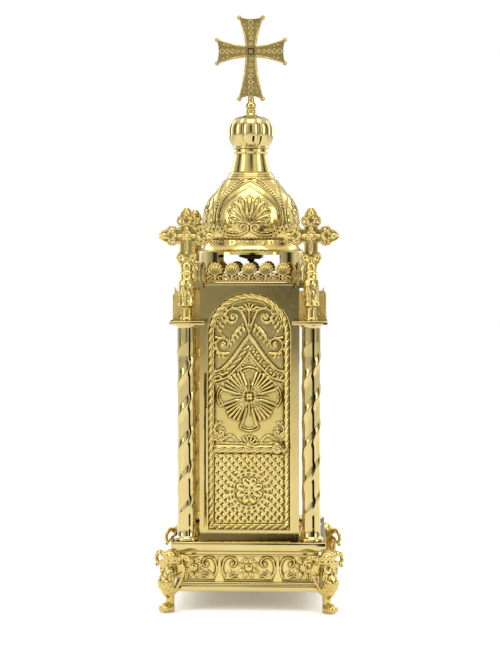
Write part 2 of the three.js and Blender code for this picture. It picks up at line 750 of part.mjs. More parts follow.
function drum() {
  const [r, z0, z1] = [drumRadius, trayTopZ, drumTopZ];
  const [inner, ring] = [r - sheet, drumSegments];
  let wall = solid(turned([[inner, z0], [r, z0], [r, z1], [inner, z1], [inner, z0]], ring));
  const half = THREE.MathUtils.degToRad(windowHalfAngle);
  const reach = r + 5;
  const wedge = [[0, 0], [reach * Math.cos(half), -reach * Math.sin(half)], [reach * 1.3, 0],
    [reach * Math.cos(half), reach * Math.sin(half)]];
  for (const turn of [90, 270]) {
    const opening = lying(spun(wedge, 0, 0, turn), z0 + windowSill, z1 - windowHead);
    wall = cut(wall, opening);
  }
  return wall;
}

// A bell-shaped skirt: a hollow flare over the drum and a shelf that carries the dome
function skirt() {
  const [r, z, h] = [drumRadius + skirtOverhang, drumTopZ, skirtHeight];
  const domeFoot = domeFootShare * domeRadius;
  const [neck, shelf] = [domeFoot + skirtMargin, domeFoot - skirtLap];
  // Flare: how far in towards the neck, and how high, as shares
  const flare = [[0.14, 0.07], [0.54, 0.22], [0.8, 0.42], [0.94, 0.67]];
  const at = (share, rise) => [r - (r - neck) * share, z + h * rise];
  const outside = [...flare, [1, 1]].map(([share, rise]) => at(share, rise));
  const inside = flare.slice(1).map(([share, rise]) => {
    const [x, level] = at(share, rise);
    return [x - sheet * (0.2 + 0.8 * share), level - sheet * (1 - share)];
  });
  const bottom = [r - skirtOverhang - sheet - seatGap, z];
  return turned([
    bottom, [r, z], ...outside, [shelf, z + h], [shelf, z + h - sheet], [neck - sheet, z + h - sheet],
    ...inside.reverse(), bottom,
  ], 24);
}

// Dome profile: radius and height as shares of the dome's own
const domeFootShare = 0.8673;
const domeCurve = new THREE.CatmullRomCurve3([
  [domeFootShare, 0], [0.949, 0.0667], [1.0, 0.2], [0.9918, 0.2667], [0.9531, 0.3556], [0.8469, 0.4667],
  [0.7245, 0.5444], [0.5306, 0.6722], [0.4612, 0.7278], [0.3918, 0.85], [0.3592, 0.95], [0.3735, 1.0],
].map(([radius, z]) => new THREE.Vector3(radius * domeRadius, 0, z * domeHeight)));

// Ogee arch of one panel: its half angle over the height, as shares
function ogeeHalfAngle(share) {
  if (share < 0.04 || share > 0.72) return 0;
  const swell = Math.sin(Math.PI * Math.min(1, (share - 0.04) / 0.44) ** 0.8 * 0.5);
  const close = share < 0.35 ? 1 : Math.max(0, 1 - (share - 0.35) / 0.37) ** 0.8;
  return 41 * swell * close;
}

// Height of the dome's chasing at an angle inside one panel, in degrees from its middle
function domeCarving(offset, share) {
  const edge = ogeeHalfAngle(share);
  if (edge === 0) return 0;
  const fromEdge = Math.abs(Math.abs(offset) - edge);
  const arch = Math.max(0, 1 - fromEdge / 5);
  const fanReach = Math.hypot(offset / 26, (share - 0.16) / 0.36);
  const fan = fanReach < 1 && share > 0.16 ? 0.75 + 0.25 * Math.cos(offset * 0.7) : 0;
  return domeRelief * Math.max(arch, fan);
}

function dome() {
  const segments = 36;
  const rows = 10;
  const rings = [];
  for (let row = 0; row <= rows; row += 1) {
    const point = domeCurve.getPointAt(row / rows);
    const share = point.z / domeHeight;
    rings.push(Array.from({ length: segments }, (_, i) => {
      const degrees = (i / segments) * 360;
      const offset = ((degrees + 45) % 90) - 45;
      const radius = point.x - domeRelief + domeCarving(offset, share);
      const angle = THREE.MathUtils.degToRad(degrees);
      return new THREE.Vector3(radius * Math.cos(angle), radius * Math.sin(angle), domeZ + point.z);
    }));
  }
  const innerRows = 5;
  const inner = Array.from({ length: innerRows + 1 }, (_, i) => {
    const point = domeCurve.getPointAt(i / innerRows);
    return [point.x - domeRelief - sheet, domeZ + point.z];
  });
  const [foot, neck] = [inner[0][0], inner[innerRows][0]];
  const hollow = [[0, domeZ - 1], [foot, domeZ - 1], ...inner, [neck, domeTopZ + 1], [0, domeTopZ + 1]];
  return cut(solid(loft(rings)), turned(hollow, 20));
}

function placeClamp() {
  const under = drumTopZ - clampDrop;
  const top = under + clampThickness;
  const inner = (drumRadius - sheet) * Math.cos(Math.PI / drumSegments);
  const reach = Math.sqrt(inner ** 2 - (clampWidth / 2) ** 2) - seatGap;
  const bar = cut(
    solid(box(-clampWidth / 2, clampWidth / 2, -reach, reach, under, top)),
    tubeUpright(0, 0, under - 1, top + 1, boltRadius + seatGap),
  );
  place("dome_clamp_bar", bar, darkSteel);
  const bolt = turned([
    [0, under - boltDrop], [boltRadius, under - boltDrop], [boltRadius, domeTopZ], [0, domeTopZ],
  ], 8);
  const nutTop = under - seatGap;
  const nut = turned([
    [0, nutTop - nutHeight], [nutRadius, nutTop - nutHeight], [nutRadius, nutTop], [0, nutTop],
  ], 6);
  place("dome_tie_bolt", fused(bolt, nut), darkSteel);
}

function bulb() {
  const profile = [
    [0.772, 0], [0.873, 0.16], [0.982, 0.38], [1, 0.606], [0.93, 0.785], [0.724, 0.918],
    [0.57, 0.976], [0.35, 1],
  ].map(([radius, z]) => [radius * bulbRadius, z * bulbHeight]);
  const sides = bulbLobes * 2;
  const rings = profile.map(([radius, z], row) => Array.from({ length: sides }, (_, i) => {
    const angle = (i / sides) * Math.PI * 2;
    const dent = row === 0 || row === profile.length - 1 || i % 2 ? 0 : radius * 0.07;
    return new THREE.Vector3((radius - dent) * Math.cos(angle), (radius - dent) * Math.sin(angle), bulbZ + z);
  }));
  return loft(rings);
}

function stem() {
  // Radius and height as shares of the ball's radius and the stem's height
  return turned([
    [0, 0], [1.27, 0], [0.93, 0.19], [0.98, 0.25], [0.98, 0.42], [0.78, 0.48], [0.9, 0.58],
    [1, 0.7], [0.9, 0.84], [0.62, 0.94], [0.62, 1], [0, 1],
  ].map(([radius, share]) => [radius * ballRadius, stemZ + share * stemHeight]), 10);
}

// Cross with four flared arms whose ends are hollowed, the lower arm longer
function topCross() {
  const [w, f] = [topCrossWaist, topCrossFlare];
  const arm = (length) => {
    const right = [
      [w, w], [w * 1.11, length * 0.41], [w * 1.45, length * 0.61], [w * 1.98, length * 0.81],
      [f, length * 0.965], [f * 0.88, length], [f * 0.45, length * 0.925],
    ];
    const left = right.slice(1).map(([x, z]) => [-x, z]).reverse();
    return [...right, [0, length * 0.9], ...left];
  };
  const outline = [0, 90, 180, 270]
    .flatMap((turn) => spun(arm(turn === 180 ? topCrossLower : topCrossHalf), 0, 0, turn))
    .map(([x, dz]) => [x, crossCentreZ + dz]);
  const half = topCrossThickness / 2;
  const b = w * 0.74;
  const boss = standing([[-b, -b], [b, -b], [b, b], [-b, b]].map(([x, dz]) => [x, crossCentreZ + dz]),
    half + 1, -half - 1);
  const tang = turned([[0, 0], [0.63, 0], [0.41, 0.12], [0, 0.12]]
    .map(([radius, z]) => [radius * w, crossFootZ + z * topCrossLower]), 10);
  return fused(standing(outline, half, -half), boss, tang);
}

// Assembly

place("base_bottom_slab", slab(bottomSlabHalf, bottomSlabZ, lowerMouldingZ), polishedGilt);
place("base_lower_moulding", lowerMoulding(), polishedGilt);
place("base_frieze_front", friezePanel(friezeHalf, true), castGilt);
place("base_frieze_rear", friezePanel(friezeHalf), castGilt, Math.PI);
place("base_frieze_left", friezePanel(friezeHalf - friezeSheet), castGilt, -Math.PI / 2);
place("base_frieze_right", friezePanel(friezeHalf - friezeSheet), castGilt, Math.PI / 2);
place("base_cove_moulding", coveMoulding(), polishedGilt);
place("base_top_slab", slab(topSlabHalf, topSlabZ, deckZ), polishedGilt);

corners.forEach(([sx, sy], i) => {
  const word = `${sy < 0 ? "front" : "rear"}_${sx < 0 ? "left" : "right"}`;
  place(`foot_${word}`, fittedFoot(-Math.PI * 0.75 + (i * Math.PI) / 2), castGilt);
  place(`column_${word}`, column().translate(sx * columnAxis, sy * columnAxis, 0), polishedGilt);
  place(`finial_${word}`, toGeometry(finial()).translate(sx * columnAxis, sy * columnAxis, 0), castGilt);
});

place("capital_plate", capitalPlate(), polishedGilt);
placeParapets();
placeCabinet();
place("door_panel", doorPanel(), castGilt);
place("door_knob", knob(), polishedGilt);
placeHinge();
place("cornice_tray", corniceTray(), polishedGilt);
placeCresting();
place("lantern_drum", drum(), polishedGilt);
place("dome_skirt", skirt(), polishedGilt);
place("dome_shell", dome(), castGilt);
placeClamp();
place("bulb", bulb(), polishedGilt);
place("cross_stem", stem(), polishedGilt);
place("top_cross", topCross(), castGilt);

export default tabernacle;
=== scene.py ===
"""A gilt brass altar tabernacle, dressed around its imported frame.

Every piece is drawn in millimetres and scaled once, in piece(). +Z is up and the door faces -Y.
A shape is a pair: an (n, 3) array of points and a list of faces that index it.
"""

import math

import bpy
import numpy as np
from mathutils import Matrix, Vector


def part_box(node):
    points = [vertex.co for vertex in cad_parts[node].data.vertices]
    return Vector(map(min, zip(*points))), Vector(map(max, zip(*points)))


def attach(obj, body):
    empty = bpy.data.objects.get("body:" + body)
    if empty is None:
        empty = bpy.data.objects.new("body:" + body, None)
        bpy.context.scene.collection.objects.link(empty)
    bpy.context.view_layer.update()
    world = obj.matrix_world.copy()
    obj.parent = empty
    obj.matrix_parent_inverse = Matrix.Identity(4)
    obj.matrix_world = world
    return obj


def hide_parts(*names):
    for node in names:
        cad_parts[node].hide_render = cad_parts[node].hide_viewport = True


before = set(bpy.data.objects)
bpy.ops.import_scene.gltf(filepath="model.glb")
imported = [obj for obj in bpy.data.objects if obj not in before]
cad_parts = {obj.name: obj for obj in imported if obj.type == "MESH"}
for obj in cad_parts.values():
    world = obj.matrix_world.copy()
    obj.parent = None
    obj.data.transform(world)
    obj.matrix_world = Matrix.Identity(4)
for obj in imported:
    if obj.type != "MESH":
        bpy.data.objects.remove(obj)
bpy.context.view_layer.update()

MM = 0.001
ROOT = "tabernacle"
DOOR = "door"
# Degrees about Z: where a corner stands, from +X, and how far a side is turned from the front
CORNERS = {"front_left": 225, "front_right": 315, "rear_right": 45, "rear_left": 135}
SIDES = {"front": 0, "right": 90, "rear": 180, "left": 270}

# Door; heights count from the ground
BORDER = 7.2
LIP = 1.3
ROPE_PITCH = 7.6
BAND_Z = 151.8
BAND_HALF = 3.4
EMBLEM_Z = 203.1
SMALL_EMBLEM_Z = 112.0
NET_WIDE = 7.4
NET_TALL = 8.8
DOOR_RELIEF = 2.0

# Plinth, columns and terrace
FRIEZE_RELIEF = 1.6
FLOWER_PITCH = 53.0
SCROLL_PLACE = 28.0
SEAT_GAP = 0.3
SHAFT = 8.9
RIB = 0.7
RIB_PITCH = 66.0
PARAPET_STEP = 3.2
FINIAL_ARM = 5.6

# Roof and top cross
DRUM_WALL = 1.5
WINDOW_HALF_DEGREES = 35.5
DOME_WALL = 3.2
DOME_RELIEF = 1.4
CROSS_WAIST = 5.5
CROSS_FLARE = 13.4
CROSS_HALF = 2.2

# Mesh fineness
DOOR_CELL = 0.56
FRIEZE_CELL = 0.52
PARAPET_CELL = 0.5
FOOT_VOXEL = 0.8
FINIAL_VOXEL = 0.65
CREST_VOXEL = 0.52


# Camera and studio


def set_camera():
    data = bpy.data.cameras.new("camera")
    data.lens = 89.06
    data.sensor_width = 36
    data.shift_x = -0.0015
    data.shift_y = -0.1477
    camera = bpy.data.objects.new("camera", data)
    bpy.context.collection.objects.link(camera)
    distance, height, turn = 1.65, 0.36, math.radians(2)
    camera.location = (distance * math.sin(turn), -distance * math.cos(turn), height)
    camera.rotation_euler = (math.pi / 2, 0, turn)
    bpy.context.scene.camera = camera


def srgb(code):
    """Linear colour of an sRGB hex code."""
    parts = [int(code[i : i + 2], 16) / 255 for i in (1, 3, 5)]
    return [c / 12.92 if c <= 0.04045 else ((c + 0.055) / 1.055) ** 2.4 for c in parts] + [1]


def node(tree, kind, inputs=None, **settings):
    """Adds a node: inputs are values or sockets to link, settings its own properties."""
    made = tree.nodes.new(kind)
    for key, value in settings.items():
        setattr(made, key, value)
    for key, value in (inputs or {}).items():
        if isinstance(value, bpy.types.NodeSocket):
            tree.links.new(value, made.inputs[key])
        else:
            made.inputs[key].default_value = value
    return made


def ramp(made, stops):
    """Sets a colour ramp's stops from (position, grey or colour) pairs."""
    elements = made.color_ramp.elements
    while len(elements) < len(stops):
        elements.new(0.5)
    for element, (position, tone) in zip(elements, stops):
        element.position = position
        element.color = tone if isinstance(tone, (list, tuple)) else (tone, tone, tone, 1)
    return made


def maths(tree, operation, *values):
    return node(tree, "ShaderNodeMath", dict(enumerate(values)), operation=operation).outputs[0]


def mix(tree, share, first, second):
    """The first colour where share is 0, the second where it is 1."""
    return node(tree, "ShaderNodeMix", {0: share, 6: first, 7: second}, data_type="RGBA").outputs[2]


def set_world():
    """A white tent seen by reflections only: on each of its four sides a narrow dark gap where
    the camera looks in and a dimmer wall beside it; straight behind, the camera sees white."""
    world = bpy.data.worlds.new("studio")
    bpy.context.scene.world = world
    world.use_nodes = True
    tree = world.node_tree
    tree.nodes.clear()
    way = node(tree, "ShaderNodeSeparateXYZ", {0: node(tree, "ShaderNodeTexCoord").outputs["Generated"]})
    angle = maths(tree, "ARCTAN2", way.outputs[0], maths(tree, "MULTIPLY", way.outputs[1], -1.0))
    sides = maths(tree, "ADD", maths(tree, "DIVIDE", angle, math.pi / 2), 0.5)
    around = maths(tree, "FRACT", sides)
    wall = ramp(node(tree, "ShaderNodeValToRGB", {0: around}), [
        (0.0, 0.8), (0.1, 1.1), (0.22, 1.05), (0.32, 0.7), (0.44, 0.52), (0.468, 0.44), (0.5, 0.08),
        (0.53, 0.03), (0.6, 0.05), (0.66, 0.5), (0.78, 1.25), (0.9, 1.1), (1.0, 0.8),
    ])
    roof, paper, backdrop = (1.2, 1.2, 1.2, 1), (0.5, 0.5, 0.48, 1), (1, 1, 1, 1)
    high = node(tree, "ShaderNodeMapRange", {0: way.outputs[2], 1: 0.5, 2: 0.85}).outputs[0]
    level = node(tree, "ShaderNodeMapRange", {0: way.outputs[2], 1: -0.1, 2: -0.03}).outputs[0]
    light = mix(tree, level, paper, mix(tree, high, wall.outputs[0], roof))
    seen = node(tree, "ShaderNodeLightPath").outputs["Is Camera Ray"]
    sky = node(tree, "ShaderNodeBackground", {"Color": mix(tree, seen, light, backdrop), "Strength": 1.0})
    node(tree, "ShaderNodeOutputWorld", {"Surface": sky.outputs[0]})


def add_light(name, azimuth, elevation, distance, size, power):
    """An area light that faces the middle of the work; azimuth 0 is in front of the door."""
    data = bpy.data.lights.new(name, "AREA")
    data.shape = "RECTANGLE"
    data.size, data.size_y = size
    data.energy = power
    light = bpy.data.objects.new(name, data)
    bpy.context.collection.objects.link(light)
    a, e = math.radians(azimuth), math.radians(elevation)
    level, middle = distance * math.cos(e), 0.3
    light.location = (level * math.sin(a), -level * math.cos(a), middle + distance * math.sin(e))
    light.rotation_euler = (math.pi / 2 - e, 0, a)


def set_floor():
    """White paper under the work, and a black flag that only the metal's reflections show."""
    bpy.ops.mesh.primitive_circle_add(vertices=96, radius=3, fill_type="NGON")
    floor = bpy.context.object
    floor.name = "floor"
    bpy.ops.mesh.primitive_plane_add(size=1)
    flag = bpy.context.object
    flag.name = "black_flag"
    azimuth, distance = math.radians(31), 0.46
    flag.location = (distance * math.sin(azimuth), -distance * math.cos(azimuth), 0.15)
    flag.rotation_euler = (math.pi / 2, 0, azimuth)
    flag.scale = (0.19, 0.28, 1)
    flag.visible_camera = False
    flag.visible_diffuse = False
    flag.visible_shadow = False
    for thing, name, tone, glow in (
        (floor, "white_paper", "#F7F7F6", 0.14),
        (flag, "black_cloth", "#060606", 0),
    ):
        cloth = bpy.data.materials.new(name)
        cloth.use_nodes = True
        shader = cloth.node_tree.nodes["Principled BSDF"]
        shader.inputs["Base Color"].default_value = srgb(tone)
        shader.inputs["Roughness"].default_value = 0.95
        shader.inputs["Emission Color"].default_value = (1, 1, 1, 1)
        shader.inputs["Emission Strength"].default_value = glow
        thing.data.materials.append(cloth)


# Finishes


def metal(name):
    """A bare metal: its material, node tree, shader and the place on the object."""
    material = bpy.data.materials.new(name)
    material.use_nodes = True
    tree = material.node_tree
    shader = tree.nodes["Principled BSDF"]
    shader.inputs["Metallic"].default_value = 1.0
    return material, tree, shader, node(tree, "ShaderNodeTexCoord").outputs["Object"]


def noise(tree, place, size, detail):
    """Soft noise in patches about size millimetres across."""
    inputs = {"Vector": place, "Scale": 1 / (size * MM), "Detail": detail}
    return node(tree, "ShaderNodeTexNoise", inputs).outputs[0]


def two_tones(tree, value, first, second):
    """A gradual change between two sRGB colours over the middle of a noise."""
    stops = [(0.3, srgb(first)), (0.7, srgb(second))]
    return ramp(node(tree, "ShaderNodeValToRGB", {0: value}), stops).outputs[0]


def bumped(tree, height, depth, under=None):
    """A surface raised by up to depth millimetres, on top of the one under it."""
    inputs = {"Height": height, "Distance": depth * MM, "Strength": 1.0}
    if under:
        inputs["Normal"] = under
    return node(tree, "ShaderNodeBump", inputs).outputs[0]


def gilt(name, tones, deep, roughness, wave, wave_height, grain=0.0, grain_size=1.0):
    """Gold plated brass: two tones on the open metal and a deep one in the hollows.

    The sheet rolls by wave_height over each wave, and is pitted by grain every grain_size.
    """
    material, tree, shader, place = metal(name)
    # Plating is never quite even: patches 30 mm across, a shade warmer or greener
    plating = two_tones(tree, noise(tree, place, 30, 3.0), *tones)
    # Painted shade: sunk parts darken towards the deep tone, standing in for the shade that falls in recesses
    hollow = node(tree, "ShaderNodeAttribute", attribute_name="hollow").outputs["Fac"]
    tree.links.new(mix(tree, hollow, plating, srgb(deep)), shader.inputs["Base Color"])
    # Handling marks change the gloss over a few millimetres
    marks = noise(tree, place, 6, 4.0)
    gloss = node(tree, "ShaderNodeMapRange", {0: marks, 1: 0.3, 2: 0.7, 3: roughness[0], 4: roughness[1]})
    tree.links.new(gloss.outputs[0], shader.inputs["Roughness"])
    surface = bumped(tree, noise(tree, place, wave, 1.0), wave_height)
    if grain:
        pits = node(tree, "ShaderNodeTexVoronoi", {"Vector": place, "Scale": 1 / (grain_size * MM)})
        surface = bumped(tree, pits.outputs[0], grain, surface)
    tree.links.new(surface, shader.inputs["Normal"])
    return material


def steel(name):
    """Blackened steel hardware: dark, dull, slightly uneven."""
    material, tree, shader, place = metal(name)
    shade = two_tones(tree, noise(tree, place, 4, 4.0), "#1B1813", "#33291B")
    tree.links.new(shade, shader.inputs["Base Color"])
    shader.inputs["Roughness"].default_value = 0.42
    return material


# Two tones, deep tone painted into the hollows as shade, roughness from and to, wave and its height, pits'
# depth and distance
GILTS = {
    # Mirror polished sheet and turned work: sharp reflections, faintly rippled by the rolling
    "polished_gilt": (("#C7B57D", "#C1AE72"), "#5E4618", (0.06, 0.1), 22, 0.035),
    # Rolled sheet of the cabinet: flatter, and a little darker than the turned work
    "rolled_gilt": (("#C6B279", "#BDA86B"), "#6B501C", (0.08, 0.13), 30, 0.04),
    # Sheet embossed from behind: softer gloss, and dark brown shade painted into the struck lines
    "embossed_gilt": (("#D2BE79", "#CAB36B"), "#33250A", (0.12, 0.19), 9, 0.05),
    # Lost wax castings: a fine skin left by the mould under the plating
    "cast_gilt": (("#CFB873", "#C6AD64"), "#33250A", (0.15, 0.25), 5, 0.06),
    # The top cross's casting, left matt between its rims: pits 0.8 mm apart scatter the light
    "pitted_gilt": (("#BCA86C", "#B09B5E"), "#2B1E08", (0.28, 0.38), 5, 0.06, 0.09, 0.8),
    # Sheet matted with a punch, pits 0.9 mm apart
    "stippled_gilt": (("#D2BC78", "#C4AA62"), "#6B4F1C", (0.32, 0.42), 9, 0.05, 0.22, 0.9),
}
FINISHES = {name: gilt(name, *look) for name, look in GILTS.items()}
FINISHES["dark_steel"] = steel("dark_steel")


# Shapes


def span(name):
    """Lowest and highest corner of a CAD node, in millimetres."""
    low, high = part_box(name)
    return np.array(low) / MM, np.array(high) / MM


def joined(shapes):
    """Several shapes as one, each still closed in itself."""
    points, faces, count = [], [], 0
    for part_points, part_faces in shapes:
        part_points = np.asarray(part_points, float).reshape(-1, 3)
        points.append(part_points)
        faces += [tuple(int(i) + count for i in face) for face in part_faces]
        count += len(part_points)
    return np.vstack(points), faces


def grid(points, wrap=False):
    """Quads over rows of points; wrap joins each row's end to its start."""
    rows, columns = points.shape[:2]
    i = np.arange(rows - 1)[:, None]
    j = np.arange(columns if wrap else columns - 1)[None, :]
    k = (j + 1) % columns
    faces = np.stack([i * columns + j, i * columns + k, (i + 1) * columns + k, (i + 1) * columns + j], -1)
    return points.reshape(-1, 3), faces.reshape(-1, 4).tolist()


def loft(rings):
    """A closed solid through rings of points, capped at both ends."""
    rings = np.asarray(rings, float)
    points, faces = grid(rings, wrap=True)
    count = rings.shape[1]
    last = len(points) - count
    faces.append(list(range(count))[::-1])
    faces.append([last + i for i in range(count)])
    return points, faces


def turned(points, degrees, axis=2):
    """Points turned about the X, Y or Z axis."""
    a = math.radians(degrees)
    first, second = [(1, 2), (2, 0), (0, 1)][axis]
    moved = np.array(points, float)
    x, y = moved[..., first].copy(), moved[..., second].copy()
    moved[..., first] = x * math.cos(a) - y * math.sin(a)
    moved[..., second] = x * math.sin(a) + y * math.cos(a)
    return moved


def turn_shape(shape, degrees, axis=2):
    return turned(shape[0], degrees, axis), shape[1]


def shift(shape, x=0, y=0, z=0):
    return np.asarray(shape[0]) + (x, y, z), shape[1]


def mirrored(shape, axis):
    """The shape's mirror image along an axis."""
    points = np.array(shape[0], float)
    points[:, axis] *= -1
    return points, [face[::-1] for face in shape[1]]


def smooth(points, count=24):
    """A soft line through a few drawn points."""
    p = np.asarray(points, float)
    p = np.vstack([2 * p[0] - p[1], p, 2 * p[-1] - p[-2]])
    t = np.linspace(0, len(p) - 3, count)
    i = np.minimum(t.astype(int), len(p) - 4)
    f = (t - i)[:, None]
    a, b, c, d = p[i], p[i + 1], p[i + 2], p[i + 3]
    return 0.5 * (2 * b + (c - a) * f + (2 * a - 5 * b + 4 * c - d) * f**2 + (3 * b - a - 3 * c + d) * f**3)


def ray(degrees):
    """A step of one in a direction on a flat drawing."""
    a = math.radians(degrees)
    return np.array([math.cos(a), math.sin(a)])


def left_of(step):
    return np.array([-step[1], step[0]])


def lathe(profile, segments=64, swell=None):
    """A turned solid from (radius, height) pairs; swell scales the radius by angle and height."""
    profile = np.maximum(np.asarray(profile, float), [0.02, -1e9])
    angle = np.linspace(0, 2 * math.pi, segments, endpoint=False)[None, :]
    radius, z = profile[:, :1], profile[:, 1:]
    radius = radius * (swell(angle, z) if swell else np.ones_like(angle))
    z = np.broadcast_to(z, radius.shape)
    return loft(np.stack([radius * np.cos(angle), radius * np.sin(angle), z], -1))


def ball(centre, size, segments=14, rows=9):
    """An ellipsoid with half sizes along X, Y and Z."""
    tilt = np.linspace(-90, 90, rows)
    profile = [(math.cos(math.radians(t)), math.sin(math.radians(t))) for t in tilt]
    points, faces = lathe(profile, segments)
    size = (size, size, size) if np.isscalar(size) else size
    return points * size + centre, faces


def tube(path, sizes, sides=10, side=(0, 1, 0)):
    """A rounded bar along a path; sizes are its half widths along side and across it,
    at even steps if there are fewer of them than points."""
    path = np.asarray(path, float)
    sizes = np.asarray([(s, s) if np.isscalar(s) else s for s in sizes], float)
    if len(sizes) != len(path):
        ends = np.linspace(0, 1, len(sizes))
        at = np.linspace(0, 1, len(path))
        sizes = np.stack([np.interp(at, ends, sizes[:, k]) for k in (0, 1)], -1)
    along = np.gradient(path, axis=0)
    along /= np.linalg.norm(along, axis=1, keepdims=True)
    first = np.asarray(side, float) - (along @ np.asarray(side, float))[:, None] * along
    first /= np.maximum(np.linalg.norm(first, axis=1, keepdims=True), 1e-6)
    second = np.cross(along, first)
    angle = np.linspace(0, 2 * math.pi, sides, endpoint=False)
    rings = []
    last = len(path) - 1
    stations = [(0, -0.7, 0.45), (0, -0.4, 0.8)] + [(i, 0, 1) for i in range(len(path))]
    stations += [(last, 0.4, 0.8), (last, 0.7, 0.45)]
    for i, push, share in stations:
        centre = path[i] + along[i] * push * sizes[i].min()
        ring = np.outer(np.cos(angle), first[i] * sizes[i, 0])
        ring += np.outer(np.sin(angle), second[i] * sizes[i, 1])
        rings.append(centre + ring * share)
    return loft(rings)


def flat_bar(line, y, sizes, sides=10):
    """A rounded bar along a line of (x, z) points, all at one depth."""
    return tube([(x, y, z) for x, z in line], sizes, sides)


def box_shape(low, high):
    """A block between two corners."""
    (x0, y0, z0), (x1, y1, z1) = low, high
    return loft([[(x0, y0, z), (x1, y0, z), (x1, y1, z), (x0, y1, z)] for z in (z0, z1)])


def square_turning(profile):
    """A square moulding from (half width, height) pairs."""
    rings = [[(-h, -h, z), (h, -h, z), (h, h, z), (-h, h, z)] for h, z in profile]
    return loft(rings)


# Pieces


def mark_hollows(mesh, reach, depth):
    """Writes how deep each point lies below the surface around it, as the attribute that finishes read."""
    count = len(mesh.vertices)
    flat = np.zeros(count * 3, np.float32)
    mesh.vertices.foreach_get("co", flat)
    points = flat.reshape(-1, 3).astype(float) / MM
    mesh.vertices.foreach_get("normal", flat)
    normals = flat.reshape(-1, 3).astype(float)
    edges = np.zeros(len(mesh.edges) * 2, np.int32)
    mesh.edges.foreach_get("vertices", edges)
    a, b = edges.reshape(-1, 2).T
    links = np.maximum(np.bincount(a, minlength=count) + np.bincount(b, minlength=count), 1)
    soft = points.copy()
    for _ in range(reach):
        total = np.stack([
            np.bincount(a, soft[b, k], count) + np.bincount(b, soft[a, k], count) for k in range(3)
        ], -1)
        soft = total / links[:, None]
    # How far a point lies sunk sets how much shade the finishes paint on it
    sunk = np.einsum("ij,ij->i", soft - points, normals) / depth
    attribute = mesh.attributes.new("hollow", "FLOAT", "POINT")
    attribute.data.foreach_set("value", np.clip(sunk, 0, 1).astype(np.float32))


def make_mesh(name, shape):
    points, faces = shape
    mesh = bpy.data.meshes.new(name)
    mesh.from_pydata((np.asarray(points) * MM).tolist(), [], faces)
    mesh.validate()
    return mesh


def piece(name, shape, finish, body=ROOT, sharp=35, hollows=None, bevel=0.0):
    """Adds one piece, which stands for the CAD node of its name.

    hollows is how far around itself a point looks, in steps of the mesh, and how many
    millimetres below that it has to lie to take the full painted shade.
    """
    mesh = shape if isinstance(shape, bpy.types.Mesh) else make_mesh(name, shape)
    mesh.name = name
    made = bpy.data.objects.new(name, mesh)
    bpy.context.collection.objects.link(made)
    if bevel:
        soften(made, bevel)
        mesh = made.data
    mesh.shade_smooth()
    mesh.set_sharp_from_angle(angle=math.radians(sharp))
    if hollows:
        mark_hollows(mesh, *hollows)
    mesh.materials.clear()
    mesh.materials.append(FINISHES[finish])
    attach(made, body)
    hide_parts(name)


def applied(made):
    """The object's mesh with its modifiers worked in."""
    graph = bpy.context.evaluated_depsgraph_get()
    mesh = bpy.data.meshes.new_from_object(made.evaluated_get(graph))
    made.modifiers.clear()
    return mesh


def soften(made, width):
    """Rounds the hard edges of a plate."""
    cut = made.modifiers.new("edge", "BEVEL")
    cut.width = width * MM
    cut.segments = 3
    cut.limit_method = "ANGLE"
    cut.angle_limit = math.radians(40)
    made.data = applied(made)


def cast(name, shapes, voxel, cutter=None, relax=2):
    """Melts overlapping shapes into one skin, as a casting is, and cuts away what its seat takes."""
    made = bpy.data.objects.new(name, make_mesh(name, joined(shapes)))
    bpy.context.collection.objects.link(made)
    melt = made.modifiers.new("melt", "REMESH")
    melt.mode = "VOXEL"
    melt.voxel_size = voxel * MM
    if relax:
        flow = made.modifiers.new("flow", "SMOOTH")
        flow.factor = 0.5
        flow.iterations = relax
    if cutter:
        tool = bpy.data.objects.new("cutter", make_mesh("cutter", cutter))
        bpy.context.collection.objects.link(tool)
        seat = made.modifiers.new("seat", "BOOLEAN")
        seat.object = tool
        seat.operation = "DIFFERENCE"
        seat.solver = "EXACT"
    mesh = applied(made)
    bpy.data.objects.remove(made)
    if cutter:
        bpy.data.objects.remove(tool)
    return mesh


def turned_mesh(mesh, degrees, x=0.0, y=0.0, z=0.0):
    """A copy of a mesh, turned about Z and set at a place."""
    copy = mesh.copy()
    flat = np.zeros(len(copy.vertices) * 3, np.float32)
    copy.vertices.foreach_get("co", flat)
    points = turned(flat.reshape(-1, 3), degrees) + (x * MM, y * MM, z * MM)
    copy.vertices.foreach_set("co", points.astype(np.float32).ravel())
    copy.update()
    return copy


# Relief: a height in millimetres over a sheet, drawn with punches and tracers


